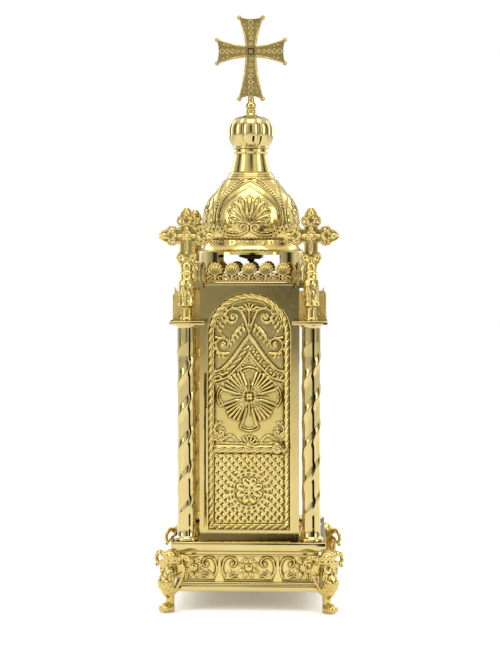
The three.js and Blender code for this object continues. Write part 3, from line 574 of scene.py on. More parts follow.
class Relief:
    """Every mark keeps the greater height, so that marks may cross in any order."""

    def __init__(self, across, up):
        self.x, self.z = across, up
        self.height = np.zeros_like(across)

    def raise_to(self, height):
        np.maximum(self.height, height, out=self.height)

    def near(self, points, margin):
        """Which points of the sheet lie in a box around some marks."""
        low, high = points.min(0) - margin, points.max(0) + margin
        return (self.x > low[0]) & (self.x < high[0]) & (self.z > low[1]) & (self.z < high[1])

    def vein(self, line, width, height, taper=1.0, count=20):
        """A rounded ridge along a line; taper is its width at the far end as a share."""
        line = smooth(line, count) if len(line) > 2 else np.asarray(line, float)
        inside = self.near(line, width)
        x, z = self.x[inside], self.z[inside]
        best = np.zeros_like(x)
        shares = np.linspace(0, 1, len(line))
        for a, b, start, end in zip(line[:-1], line[1:], shares[:-1], shares[1:]):
            step = b - a
            f = np.clip(((x - a[0]) * step[0] + (z - a[1]) * step[1]) / max(step @ step, 1e-9), 0, 1)
            gap = np.hypot(x - a[0] - f * step[0], z - a[1] - f * step[1])
            half = width * (1 + (taper - 1) * (start + f * (end - start)))
            lift = np.sqrt(np.clip(1 - (gap / half) ** 2, 0, 1)) * (0.4 + 0.6 * half / width)
            best = np.maximum(best, lift)
        self.height[inside] = np.maximum(self.height[inside], best * height)

    def boss(self, cx, cz, rx, height, rz=None, turn=0.0):
        """A rounded boss, longer one way if rz is given."""
        rz = rz or rx
        inside = self.near(np.array([[cx, cz]]), max(rx, rz))
        a = math.radians(turn)
        dx, dz = self.x[inside] - cx, self.z[inside] - cz
        u, v = dx * math.cos(a) + dz * math.sin(a), dz * math.cos(a) - dx * math.sin(a)
        lift = np.sqrt(np.clip(1 - (u / rx) ** 2 - (v / rz) ** 2, 0, 1)) * height
        self.height[inside] = np.maximum(self.height[inside], lift)

    def volute(self, cx, cz, radius, start, turns, width, height, fingers=0):
        """A scroll winding in to an eye, with leaf fingers along its outside."""
        share = np.linspace(0, 1, 26)
        angle = np.radians(start + turns * 360 * share)
        reach = radius * (1 - 0.8 * share**0.8)
        line = np.stack([cx + reach * np.cos(angle), cz + reach * np.sin(angle)], -1)
        self.vein(line, width, height, 0.6, 40)
        self.boss(cx, cz, radius * 0.26, height)
        for i in range(fingers):
            at = int(2 + 11 * i / fingers)
            out = np.array([math.cos(angle[at]), math.sin(angle[at])])
            lean = left_of(out) * (1 if turns > 0 else -1)
            root = line[at] + out * width * 0.4
            tip = root + out * radius * 0.34 - lean * radius * 0.3
            self.vein([root, (root + tip) / 2 + out * 0.4, tip], width * 0.8, height * 0.85, 0.4, 6)

    def fan(self, cx, cz, radius, low, high, count, width, height, root=0.25):
        """Leaves spread from one root, between two angles."""
        centre = np.array([cx, cz])
        for turn in np.linspace(low, high, count):
            out = ray(turn)
            self.vein([centre + out * radius, centre + out * (radius * root)], width, height, 0.4)

    def rope(self, along, across, height):
        """A laid rope: across runs from -1 to 1 over its width."""
        strand = np.abs(np.sin(math.pi * (along / ROPE_PITCH + across * 0.55)))
        lift = np.sqrt(np.clip(1 - across**2, 0, 1)) * (0.35 + 0.65 * strand**0.7)
        self.raise_to(lift * height)


def sheet_solid(front, back_y):
    """A closed panel from its front grid of points and a flat back."""
    points, faces = grid(front)
    rows, columns = front.shape[:2]
    edge = list(range(columns))
    edge += [i * columns + columns - 1 for i in range(1, rows)]
    edge += [(rows - 1) * columns + j for j in range(columns - 2, -1, -1)]
    edge += [i * columns for i in range(rows - 2, 0, -1)]
    rim = points[edge].copy()
    rim[:, 1] = back_y
    start = len(points)
    count = len(edge)
    for i in range(count):
        k = (i + 1) % count
        faces.append([edge[k], edge[i], start + i, start + k])
    faces.append([start + i for i in range(count)][::-1])
    return np.vstack([points, rim]), faces


# Door


def door_outline():
    """The panel's half width, foot, spring of the arch and top."""
    low, high = span("door_panel")
    half = high[0]
    return half, low[2], high[2] - half, high[2]


def door_grid():
    """Rows of points across the panel, narrowing with its arch."""
    half, bottom, spring, top = door_outline()
    rows = int((top - bottom) / DOOR_CELL)
    columns = int(2 * half / DOOR_CELL)
    straight = np.linspace(bottom, spring, int(rows * (spring - bottom) / (top - bottom)), endpoint=False)
    tilt = np.linspace(0, math.pi / 2 - 0.06, int(half / DOOR_CELL * 1.15))
    z = np.concatenate([straight, spring + half * np.sin(tilt)])
    width = np.concatenate([np.full(len(straight), half), half * np.cos(tilt)])
    share = np.linspace(-1, 1, columns)
    return share[None, :] * width[:, None], np.broadcast_to(z[:, None], (len(z), columns)).copy()


def door_frame_relief(relief):
    """Lip, rope border and the rope band between the two fields.

    Gives back how far each point lies from the panel's edge.
    """
    half, bottom, spring, _ = door_outline()
    x, z = relief.x, relief.z
    arched = z > spring
    side = np.where(arched, half - np.hypot(x, z - spring), half - np.abs(x))
    floor = z - bottom
    edge = np.minimum(side, floor)
    middle = half - BORDER / 2
    turn = np.arctan2(z - spring, np.maximum(np.abs(x), 1e-6))
    along = np.where(arched, spring + middle * turn, z) * np.sign(x)
    along = np.where(floor < side, -x, along)
    across = (edge - (LIP + BORDER) / 2) / ((BORDER - LIP) / 2)
    relief.raise_to(np.where(edge < LIP, 1.7, 0))
    relief.rope(along, across, 1.9)
    inner = np.abs(edge - BORDER - 0.7)
    relief.raise_to(np.clip(1 - inner / 0.6, 0, 1) * 1.1)
    field = edge > BORDER
    band = (z - BAND_Z) / BAND_HALF
    strip = Relief(x, z)
    strip.rope(-x * 0.85, band * 1.25, 1.5)
    strip.raise_to(np.clip(1 - np.abs(np.abs(band) - 1) * BAND_HALF / 0.6, 0, 1) * 1.3)
    relief.raise_to(np.where(field, strip.height, 0))
    return edge


def flared_arm(relief, turn, length, root, tip):
    """One outlined arm of the door's cross, widening to a curved end."""
    out = ray(turn)
    near = 5

    def place(v, u):
        return (0, EMBLEM_Z) + out * v + left_of(out) * u

    for inset, width, height in ((0, 0.8, 1.5), (2.1, 0.6, 1.0)):
        start = near + inset * 3.2
        end = length - inset
        wide = tip - inset
        narrow = root + (wide - root) * (start - near) / (length - near) * 0.6
        for side in (-1, 1):
            relief.vein([place(start, side * narrow * 0.8), place(length * 0.55, side * (root + wide) * 0.42),
                         place(end - 2, side * wide)], width, height, 1.0, 8)
        relief.vein([place(end - 2, -wide), place(end + 0.3, -wide * 0.5), place(end + 1, 0),
                     place(end + 0.3, wide * 0.5), place(end - 2, wide)], width, height, 1.0, 12)
    relief.vein([place(6, 0), place(length * 0.6, 0)], 1.0, 1.0, 0.5)


def door_cross(relief):
    """The upper field's cross: four outlined arms, rays between them and a knot of four beads."""
    for turn, length in ((0, 30), (90, 28), (180, 30), (270, 32)):
        flared_arm(relief, turn, length, 2.2, 9)
    centre = np.array([0, EMBLEM_Z])
    for middle in (45, 135, 225, 315):
        for spread in (-19, -9.5, 0, 9.5, 19):
            out = ray(middle + spread)
            far = 27 - abs(spread) * 0.12
            relief.vein([centre + out * far, centre + out * 6.5], 1.45, 1.5, 0.4)
        relief.boss(*(centre + ray(middle) * 2.2), 1.7, 1.8)


def door_ogee(relief):
    """The double ogee band under the arch, filled in turn with leaves and pairs of beads."""
    upper = np.array([(-35, 227), (-27, 230), (-17, 240), (-8, 252.5), (0, 263)])
    lower = np.array([(-35, 218), (-22, 222), (-12, 231), (-5, 239), (0, 246)])
    for side in (-1, 1):
        flip = np.array([-side, 1])
        leaf_turn = 20 if side < 0 else 48
        relief.vein(upper * flip, 1.2, 1.6)
        relief.vein((upper + (0, -2.6)) * flip, 0.55, 1.0)
        relief.vein(lower * flip, 1.1, 1.5)
        relief.vein((lower + (0, -3)) * flip, 0.5, 0.8)
        between = smooth((upper + lower) / 2 + (0, -0.8), 13)
        for i in range(1, 12):
            cx, cz = between[i] * flip
            if i % 2:
                relief.boss(cx, cz, 3.0, 1.3, 1.1, leaf_turn)
            else:
                relief.boss(cx, cz + 1.6, 1.1, 1.3)
                relief.boss(cx, cz - 1.6, 1.1, 1.2)
        drops = smooth(lower + (0, -4.6), 12)
        for cx, cz in drops[1:] * flip:
            relief.boss(cx, cz, 0.9, 0.9)


def door_crown(relief):
    """Leaf scrolls between the ogee and the arch, and the shell on its stem."""
    relief.vein([(0, 262), (0, 276), (0, 288)], 1.2, 1.5, 0.8)
    relief.fan(0, 287, 6.2, 20, 160, 5, 1.3, 1.5, 0.2)
    relief.boss(0, 287, 1.8, 1.8)
    for side in (-1, 1):
        start = 0 if side < 0 else 180
        relief.volute(side * 16, 280.5, 10.5, start, 1.35 * -side, 1.3, 1.5, 6)
        relief.volute(side * 25, 254, 10, start + side * 60, -1.35 * -side, 1.3, 1.5, 6)
        relief.vein([(0, 266), (side * 3.5, 276), (side * 6, 283)], 1.3, 1.4, 0.8)
        relief.vein([(side * 9, 270), (side * 14, 264), (side * 17, 258)], 1.6, 1.3, 0.5)
        for i in range(5):
            x0, z0 = side * (5 + 3.2 * i), 268 - 3.6 * i
            leaf = [(x0, z0), (x0 + side * 1.6, z0 + 2.6), (x0 + side * 1.2, z0 + 5.6)]
            relief.vein(leaf, 1.1, 1.3, 0.5, 6)
        for i in range(4):
            x0, z0 = side * (28 - 2.4 * i), 267 + 4.2 * i
            leaf = [(x0, z0), (x0 + side * 2.4, z0 + 2), (x0 + side * 3.2, z0 + 5)]
            relief.vein(leaf, 1.1, 1.2, 0.5, 6)
        relief.boss(side * 31, 246, 1.6, 1.3)


def door_sprays(relief):
    """Leaf sprays in the lower corners of the upper field, and the half round fan between them."""
    floor = BAND_Z + BAND_HALF + 1.2
    relief.fan(0, floor, 7.4, 12, 168, 6, 1.3, 1.4, 0.35)
    for turn in range(10, 171, 20):
        relief.boss(*((0, floor) + ray(turn) * 8.8), 1.0, 1.2)
    relief.boss(0, floor + 0.4, 2.2, 1.5)
    for side in (-1, 1):
        relief.volute(side * 28, floor + 14, 7.5, 90, -1.2 * side, 1.25, 1.4, 4)
        relief.vein([(side * 27, floor + 5), (side * 18, floor + 9), (side * 12, floor + 4)], 1.7, 1.4, 0.4)
        relief.fan(side * 24, floor + 3, 11, 90 - side * 75, 90 - side * 10, 5, 1.2, 1.3, 0.3)
        relief.vein([(side * 31, floor + 3), (side * 20, floor + 1.6), (side * 11, floor + 1.6)], 1.0, 1.0)


def door_net(relief, edge):
    """The lower field: a beaten net with deep pits around a small cross with broad petals."""
    bottom = door_outline()[1]
    field = (edge > BORDER + 1) & (relief.z < BAND_Z - BAND_HALF - 0.8)
    up, across = (relief.z - bottom) / NET_TALL, relief.x / NET_WIDE
    net = np.maximum(np.abs(np.cos(math.pi * (across + up))), np.abs(np.cos(math.pi * (across - up))))
    relief.raise_to(np.where(field, 1.25 * net**1.6, 0))
    # Rings of pits stand around the small cross, and the ground inside them is plain
    clear, bent = 14.4, 22
    gap = np.hypot(relief.x, relief.z - SMALL_EMBLEM_Z)
    angle = np.arctan2(relief.z - SMALL_EMBLEM_Z, relief.x)
    near = field & (gap < bent)
    rings = 1.2 * np.maximum(np.abs(np.sin(angle * 10)) ** 0.7, np.abs(np.cos(math.pi * (gap - clear) / 4)))
    relief.height[near] = rings[near]
    relief.height[field & (gap < clear)] = 0.25
    centre = np.array([0.0, SMALL_EMBLEM_Z])
    for turn in (0, 90, 180, 270):
        out = ray(turn)
        for side in (-1, 1):
            petal = centre + out * 8 + left_of(out) * side * 3.1
            relief.boss(*petal, 5.0, 2.0, 3.6, turn + side * 24)
        relief.vein([centre + out * 1, centre + out * 6], 1.8, 1.6, 0.9)


def make_door():
    """One embossed panel; no mark stands out by more than DOOR_RELIEF."""
    low, high = span("door_panel")
    x, z = door_grid()
    relief = Relief(x, z)
    edge = door_frame_relief(relief)
    door_cross(relief)
    door_ogee(relief)
    door_crown(relief)
    door_sprays(relief)
    door_net(relief, edge)
    y = low[1] + DOOR_RELIEF - np.clip(relief.height, 0, DOOR_RELIEF)
    piece("door_panel", sheet_solid(np.stack([x, y, z], -1), high[1]), "embossed_gilt",
          body=DOOR, sharp=70, hollows=(7, 0.42))


def make_knob():
    """A turned pull: a rose on the door, a neck, a round head and a small tip."""
    low, high = span("door_knob")
    radius = (high[2] - low[2]) / 2
    length = high[1] - low[1]
    drawn = [(0, 0), (0.98, 0), (1, 1.2), (0.82, 2.2), (0.62, 3.2), (0.6, 5.2), (0.9, 6.2), (1, 7.6),
             (0.9, 9.2), (0.6, 9.9), (0.42, length - 0.4), (0.3, length - 1.0), (0, length - 1.3)]
    profile = smooth([(radius * share, along) for share, along in drawn], 60)
    knob = turn_shape(lathe(profile, 64), 90, axis=0)
    middle = (low + high) / 2
    piece("door_knob", shift(knob, middle[0], high[1], middle[2]), "polished_gilt", body=DOOR)


def dress_sheets():
    """The cabinet's sheets and the hinge keep their CAD shape and take a finish."""
    cabinet = ("cabinet_front", "cabinet_left", "cabinet_right", "cabinet_rear", "cabinet_top")
    hinge = ("hinge_cabinet_leaf", "door_hinge_leaf")
    for names, finish in ((cabinet, "rolled_gilt"), (hinge, "polished_gilt")):
        for name in names:
            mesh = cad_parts[name].data
            mesh.materials.clear()
            mesh.materials.append(FINISHES[finish])


# Plinth


def frieze_relief(half, tall):
    """Daisies with a polished ball, and C-scrolls set back to back around a plain trumpet."""
    columns, rows = int(2 * half / FRIEZE_CELL), int(tall / FRIEZE_CELL)
    x, z = np.meshgrid(np.linspace(-half, half, columns), np.linspace(0, tall, rows))
    relief = Relief(x, z)
    middle = tall / 2
    for line in (0.9, tall - 0.9):
        relief.raise_to(np.clip(1 - np.abs(z - line) / 0.8, 0, 1) ** 0.5 * 0.8)
    for side in (-1, 1):
        for offset in (2.0, 5.0):
            relief.vein([(side * (half - offset), 2), (side * (half - offset), tall - 2)], 0.9, 1.2)
        heart = side * SCROLL_PLACE
        # The trumpet: plain, narrow above and wide below
        share = np.clip((tall - 2 - z) / (tall - 4), 0, 1)
        wide = 1.0 + 4.4 * share**1.8
        relief.raise_to(np.clip(1 - (np.abs(x - heart) / wide) ** 4, 0, 1) * 0.7 * (share > 0))
        for turn in (-1, 1):
            scroll = [(6.4, 3.0), (3.4, 8.6), (2.9, 15), (5.2, 21), (9.6, 23.6), (14.4, 21.8), (16.2, 17.8),
                      (14, 14.6), (11.2, 15.6), (11.4, 18.2)]
            relief.vein([(heart + turn * u, v) for u, v in scroll], 1.15, 1.55, 0.8, 50)
            relief.boss(heart + turn * 12.7, 17.4, 1.7, 1.5)
            leaves = ((17.6, 2.6, 11), (17.4, 5.8, 10), (14.6, 8.8, 7), (11, 10.8, 5))
            for i, (u, v, reach) in enumerate(leaves):
                root = (heart + turn * 7.2, 3.4 + 0.9 * i)
                mid = (heart + turn * (7.2 + reach * 0.5), 3.0 + 1.9 * i)
                relief.vein([root, mid, (heart + turn * u, v)], 1.3, 1.25, 0.4, 10)
    for place in (0, -FLOWER_PITCH, FLOWER_PITCH):
        # Each flower clears the leaves around it, and its ball stands free in a ring
        centre = np.array([place, middle])
        gap = np.hypot(x - place, z - middle)
        relief.height[gap < 9.4] = 0.15
        for turn in np.arange(22.5, 360, 45):
            out = ray(turn)
            relief.boss(*(centre + out * 7.0), 2.6, 1.2, 1.9, turn)
            relief.vein([centre + out * 10.2, centre + out * 8.4], 0.8, 1.0, 0.5)
        relief.height[gap < 4.6] = 0.0
        relief.boss(*centre, 3.8, FRIEZE_RELIEF)
    return relief


def make_friezes():
    """The same relief on every side, on a panel as wide as that side's own."""
    low, high = span("base_frieze_front")
    for word, degrees in SIDES.items():
        name = f"base_frieze_{word}"
        own_high = span(name)[1]
        half = own_high[0] if word in ("front", "rear") else own_high[1]
        relief = frieze_relief(half, high[2] - low[2])
        front = np.stack([relief.x, low[1] + FRIEZE_RELIEF - relief.height, relief.z + low[2]], -1)
        shape = turn_shape(sheet_solid(front, high[1]), degrees)
        piece(name, shape, "embossed_gilt", sharp=70, hollows=(6, 0.42))


def make_slabs():
    for name in ("base_bottom_slab", "base_top_slab"):
        low, high = span(name)
        piece(name, square_turning([(high[0], low[2]), (high[0], high[2])]), "polished_gilt", bevel=0.9)


def make_mouldings():
    """The moulding on the lower slab and the cove under the upper one."""
    low, high = span("base_lower_moulding")
    narrow, wide = span("base_frieze_front")[1][0] + 0.5, high[0]
    step = high[2] - low[2]
    curve = [(wide, low[2]), (wide, low[2] + step * 0.35)]
    for t in np.linspace(0.15, math.pi / 2, 8):
        curve.append((wide - (wide - narrow) * math.sin(t), high[2] - step * 0.65 * math.cos(t)))
    piece("base_lower_moulding", square_turning(curve), "polished_gilt", sharp=25)
    low, high = span("base_cove_moulding")
    step = high[2] - low[2]
    ledge = narrow + 0.8
    curve = [(narrow, low[2]), (narrow, low[2] + step * 0.2), (ledge, low[2] + step * 0.24)]
    for t in np.linspace(0, math.pi / 2, 10):
        out = ledge + (high[0] - ledge) * (1 - math.cos(t))
        curve.append((out, low[2] + step * (0.28 + 0.6 * math.sin(t))))
    curve.append((high[0], high[2]))
    piece("base_cove_moulding", square_turning(curve), "polished_gilt", sharp=25)


# Cherub feet


def foot_shapes():
    """A foot drawn on the corner that points along +X: u runs outwards, t sideways."""
    corner = span("base_bottom_slab")[1][0] * math.sqrt(2)
    head_z = span("base_top_slab")[0][2] - 7.4

    def at(u, t, z):
        return np.array([corner + u, t, z])

    leg = [(4.6, 0, 4), (5.2, 9, 3.8), (5.4, 15, 4.2), (8, 20, 5.8), (9.6, 26, 7.4), (9.4, 31, 7.8),
           (7.4, 37, 6.6), (5.4, 44, 5.4)]
    path = smooth([at(u, 0, z) for u, z, _ in leg], 24)
    shapes = [tube(path, [(w, w * 1.02) for _, _, w in leg], 20)]
    shapes += paw_shapes(at)
    shapes += collar_shapes(at)
    shapes += head_shapes(at, head_z)
    for side in (-1, 1):
        shapes += wing_shapes(at, head_z, side)
        shapes += strap_shapes(at, side)
    return shapes


def paw_shapes(at):
    """A pad and four toes."""
    shapes = [ball(at(9, 0, 4.6), (8.4, 6.2, 4.6))]
    for t in (-4.8, -1.7, 1.7, 4.8):
        far = 16.4 - abs(t) * 0.5
        shapes.append(tube([at(10, t * 0.8, 5), at(14, t, 4.8), at(far, t * 1.1, 2.4)], [2.0, 1.9, 1.3]))
    return shapes


def collar_shapes(at):
    """A ruffled collar of leaves and rows of scales over the bulge above it."""
    shapes = []
    for i in range(9):
        a = math.radians(-112 + 28 * i)
        out = np.array([math.cos(a), math.sin(a), 0])
        centre = at(5.6, 0, 17)
        shapes.append(tube([centre + out * 4, centre + out * 7 + (0, 0, 3), centre + out * 9 + (0, 0, 6.2)],
                           [(1.9, 1.0), (1.9, 1.0), (1.2, 0.8)], 8, side=(-out[1], out[0], 0)))
    for row, (z, u, reach) in enumerate(((25, 9.2, 7.6), (29, 9.6, 8.2), (33.5, 8.4, 7.6), (38, 7, 6.6))):
        for i in range(7):
            a = math.radians(-96 + 32 * i + (16 if row % 2 else 0))
            out = np.array([math.cos(a), math.sin(a), 0])
            shapes.append(ball(at(u, 0, z) + out * reach * 0.93, (1.6, 1.6, 2.6), 10, 7))
    return shapes


def head_shapes(at, z):
    """A calm, plain putto's head with curls around it."""
    middle = at(5.6, 0, z)
    shapes = [ball(middle, (7.2, 7.0, 8.0), 20, 13)]
    face = [
        ((6.2, 0, -0.6), (1.7, 1.1, 2.0)), ((6.9, 0, -1.9), (1.3, 1.3, 1.0)),
        ((4.6, 3.1, -2.4), (2.4, 2.2, 2.2)), ((4.6, -3.1, -2.4), (2.4, 2.2, 2.2)),
        ((5.9, 0, -4.1), (1.2, 1.7, 0.7)), ((5.6, 0, -5.1), (1.3, 1.4, 0.7)),
        ((4.6, 0, -6.6), (1.9, 2.1, 1.5)), ((5.4, 0, 3.2), (2.0, 4.6, 2.2)),
        ((5.6, 2.5, 0.9), (1.0, 1.3, 0.7)), ((5.6, -2.5, 0.9), (1.0, 1.3, 0.7)),
    ]
    shapes += [ball(middle + place, size, 12, 9) for place, size in face]
    for row, (tilt, count) in enumerate(((28, 5), (52, 7), (78, 6))):
        for i in range(count):
            a = math.radians(-78 + 156 * i / (count - 1) + row * 5)
            e = math.radians(tilt)
            out = np.array([math.cos(a) * math.cos(e), math.sin(a) * math.cos(e), math.sin(e)])
            shapes.append(ball(middle + out * (7.2, 7.3, 7.4), 2.1, 10, 7))
    for side in (-1, 1):
        for drop in (1.5, -2.2):
            shapes.append(ball(middle + (0.5, side * 7.2, drop), 2.1, 10, 7))
    return shapes


def wing_shapes(at, z, side):
    """A wing leaving the head sideways, rising and curling down, laid up from feathers."""
    shapes = []
    drawn = [(2.8, 4, -5), (3.4, 11, 1.0), (3, 18, 3.6), (1.2, 24, 0.4), (0, 26, -5.2), (-0.4, 23, -8)]
    spine = smooth([at(u, side * t, z + h) for u, t, h in drawn], 26)
    sizes = [(2.4, 3.8), (2.2, 3.2), (2.0, 2.6), (1.9, 2.2), (1.8, 1.9), (1.7, 1.7)]
    shapes.append(tube(spine, sizes, 14, side=(1, 0, 0)))
    for i in range(4):
        drop = 2.6 + 2.7 * i
        feather = [(3.2, 4, -6 - drop), (3.6, 9.5, -3.2 - drop * 0.9), (3.4, 15 - i, -1.6 - drop),
                   (2.6, 19.4 - 1.8 * i, -4.4 - drop * 1.05)]
        path = smooth([at(u, side * t, z + h) for u, t, h in feather], 14)
        shapes.append(tube(path, [(1.1, 1.7), (1.3, 1.8), (1.3, 1.6), (0.8, 1.0)], 8, side=(1, 0, 0)))
    for i in range(6):
        share = 0.12 + 0.13 * i
        root = spine[int(share * 25)]
        covert = [root + (1.2, 0, 1.8), root + (2.4, 0, 0), root + (1.8, 0, -2.6)]
        shapes.append(tube(covert, [0.9, 1.0, 0.6], 8))
    curl = [at(0.6 + 0.1 * k, side * (24.2 + 1.9 * math.cos(a)), z - 8.6 + 2.2 * math.sin(a))
            for k, a in enumerate(np.linspace(0.6, 5.8, 12))]
    shapes.append(tube(curl, [1.3, 1.1], 8, side=(1, 0, 0)))
    return shapes


def strap_shapes(at, side):
    """The strap from the leg up to the slab, with a spiral eye at each end."""
    drawn = [(4, 4, 18), (3.6, 10, 27), (3, 15, 35), (2.6, 17, 44)]
    path = smooth([at(u, side * t, z) for u, t, z in drawn], 18)
    shapes = [tube(path, [(1.5, 2.2), (1.4, 1.9), (1.3, 1.8), (1.3, 2.0)], 10, side=(1, 0, 0))]
    for t, z, size in ((14.6, 36.5, 3.2), (6.5, 21, 2.6)):
        shapes.append(ball(at(3.4, side * t, z), (1.9, size, size), 14, 9))
        shapes.append(ball(at(5.2, side * t, z), (1.2, size * 0.45, size * 0.45), 10, 7))
    return shapes


def plinth_cutter():
    """What the plinth takes out of a foot: one stepped square block, and the ground."""
    slab_low, slab_high = span("base_bottom_slab")
    top_low, top_high = span("base_top_slab")
    slab = slab_high[0] + SEAT_GAP
    mould = span("base_lower_moulding")[1][0] + SEAT_GAP
    top = top_high[0] + SEAT_GAP
    ledge, soffit = slab_high[2] + SEAT_GAP, top_low[2] - SEAT_GAP
    beyond = 20
    profile = [(slab, slab_low[2] - SEAT_GAP), (slab, ledge), (mould, ledge), (mould, soffit),
               (top, soffit), (top, top_high[2] + beyond)]
    ground = square_turning([(400, -60), (400, 0)])
    return joined([square_turning(profile), ground])


def make_feet():
    """One casting, melted at 45 degrees, where the plinth that is cut out of it lies square."""
    shapes = [turn_shape(shape, 45) for shape in foot_shapes()]
    mesh = cast("foot", shapes, FOOT_VOXEL, plinth_cutter())
    for word, degrees in CORNERS.items():
        piece(f"foot_{word}", turned_mesh(mesh, degrees - 45), "cast_gilt", sharp=60, hollows=(3, 0.5))
    bpy.data.meshes.remove(mesh)


# Columns


def column_shape():
    """A smooth shaft with two thin ribs winding up it, which fade out towards both ends."""
    low, high = span("column_front_left")
    floor, top = low[2], high[2]
    disc = (high[0] - low[0]) / 2
    foot, head, fading = floor + 14, top - 16, 14
    profile = [(disc - 1.2, floor), (disc - 0.3, floor + 0.5), (disc, floor + 1.3), (disc, floor + 2.4),
               (disc - 0.5, floor + 3.0), (disc - 2.2, floor + 3.8), (SHAFT + 0.4, floor + 4.2),
               (SHAFT, floor + 4.9)]
    profile += [(SHAFT, z) for z in np.linspace(foot - 2, head + 2, 140)]
    profile += [(SHAFT, top - 3.4), (SHAFT + 0.5, top - 3.0), (SHAFT + 1.2, top - 2.0),
                (SHAFT + 1.9, top - 0.6), (SHAFT + 1.9, top)]

    def twist(angle, z):
        fade = np.clip((z - foot) / fading, 0, 1) * np.clip((head - z) / fading, 0, 1)
        turn = angle - 2 * math.pi * (z - foot) / RIB_PITCH
        ridge = np.abs(np.cos(turn)) ** 9
        return 1 + fade * (RIB * ridge - 0.25) / SHAFT

    return lathe(profile, 72, twist)


def make_columns():
    shape = column_shape()
    for word in CORNERS:
        low, high = span(f"column_{word}")
        middle = (low + high) / 2
        piece(f"column_{word}", shift(shape, middle[0], middle[1]), "polished_gilt", sharp=40)


# Terrace: capital plate, parapets and finials


def make_capital():
    """The plate on the columns: open around the cabinet and notched in front of the door."""
    low, high = span("capital_plate")
    half, inner = high[0], span("cabinet_front")[1][0]
    notch = span("door_panel")[1][0] + 0.7
    outline = [(-half, -half), (-notch, -half), (-notch, -inner), (-inner, -inner), (-inner, inner),
               (inner, inner), (inner, -inner), (notch, -inner), (notch, -half), (half, -half),
               (half, half), (-half, half)]
    rings = [[(x, y, z) for x, y in outline] for z in (low[2], high[2])]
    piece("capital_plate", loft(rings), "polished_gilt", bevel=0.8)


def parapet_relief(width, tall, outer_lean):
    """A wing's face: matt ground, thin edge line and a leaf scroll low down."""
    columns, rows = int(width / PARAPET_CELL), int(tall / PARAPET_CELL)
    share, z = np.meshgrid(np.linspace(0, 1, columns), np.linspace(0, tall, rows))
    x = share * (width - outer_lean * z / tall)
    relief = Relief(x, z)
    for start in (0, width * 0.33, width * 0.66):
        if start + width * 0.3 < width:
            relief.volute(start + width * 0.17, tall * 0.24, width * 0.13, 180, 1.2, 0.7, 0.6, 3)
    relief.vein([(0, 1.2), (width - 0.5, 1.2)], 0.7, 0.5)
    return relief


def parapet_spike(outer, face, back, z):
    """The point that stands up at a front wing's outer end."""
    near = outer - 2.1
    return loft([
        [(x, y, level) for x, y in ((outer - far, face), (near, face), (near, back), (outer - far, back))]
        for far, level in ((4.0, z), (2.9, z + 3.1))
    ])


def make_parapets():
    """Front wing, rear wing and side panel; the wings are drawn on the right at the front."""
    for side_word, sign in (("left", -1), ("right", 1)):
        for place in ("front", "rear"):
            name = f"parapet_{side_word}_{place}"
            low, high = span(name)
            inner, outer = (low[0], high[0]) if sign > 0 else (-high[0], -low[0])
            near = low[1] if place == "front" else -high[1]
            tall = high[2] - low[2] - (PARAPET_STEP if place == "front" else 0)
            depth = high[1] - low[1]
            relief = parapet_relief(outer - inner, tall, 2.0)
            y = np.full_like(relief.x, near) - relief.height * 0.5 + 0.3
            shape = sheet_solid(np.stack([relief.x + inner, y, relief.z + low[2]], -1), near + depth)
            if place == "front":
                spike = parapet_spike(outer, near + 0.3, near + depth, low[2] + tall)
                shape = joined([shape, spike])
            if sign < 0:
                shape = mirrored(shape, 0)
            if place == "rear":
                shape = mirrored(shape, 1)
            piece(name, shape, "stippled_gilt", sharp=50)
        name = f"parapet_{side_word}_side"
        piece(name, box_shape(*span(name)), "stippled_gilt", bevel=0.25)


def finial_shapes():
    """A leafy vase with a budded cross, at the origin."""

    def leaves(angle, z):
        on = np.clip((z - 17.5) / 1.5, 0, 1) * np.clip((40 - z) / 2, 0, 1)
        lobes = np.abs(np.cos(4 * angle + 0.6 * np.sin(z * 0.45)))
        ribs = 0.5 + 0.5 * np.cos(14 * angle + z * 0.3)
        return 1 - on * (0.1 * (1 - lobes**0.6) + 0.05 * ribs)

    profile = smooth([
        (6.0, 0), (6.2, 1.0), (6.1, 2.2), (5.4, 2.8), (5.2, 4), (5.2, 12.4), (6, 13.2), (8.1, 14.4),
        (8.2, 15.6), (7.6, 16.8), (7.6, 18), (7.8, 24), (7.7, 32), (7.6, 36), (7.0, 39.4), (5.8, 40.8),
        (5.6, 44.6), (6.4, 46), (6.4, 47.4), (5.3, 48.6), (5.6, 51.5), (5.2, 54.5), (3.4, 56.6), (2.6, 60),
    ], 130)
    shapes = [lathe(profile, 64, leaves)]
    for z, count, size in ((18.6, 9, 1.5), (23, 8, 1.5), (28, 8, 1.5), (33, 8, 1.5), (37.4, 9, 1.2)):
        for i in range(count):
            a = 2 * math.pi * (i + (int(z) % 2) * 0.5) / count
            centre = (6.9 * math.cos(a), 6.9 * math.sin(a), z)
            shapes.append(ball(centre, (size * 0.7, size * 0.7, size * 1.5), 8, 7))
    # Calyx: two big leaves curling outwards under the cross, and a small one before and behind
    for side in (-1, 1):
        curve = [(0, 50.6), (3.6, 53), (6.4, 56.6), (8.2, 60.6), (7.4, 64.2), (4.6, 64.4), (4.4, 61.8)]
        leaf = smooth(curve, 20) * (side, 1)
        shapes.append(flat_bar(leaf, 0, [(2.4, 2.0), (2.2, 1.9), (1.5, 1.3)]))
        shapes.append(tube([(0, side * 2.2, 51), (side * 1.2, side * 3.2, 57), (0, side * 3.4, 61)],
                           [(2.6, 1.2), (2.2, 1.0), (0.8, 0.6)], 10, side=(1, 0, 0)))
    shapes.append(ball((0, 0, 57), (6.4, 2.6, 5.4)))
    return shapes + finial_cross()


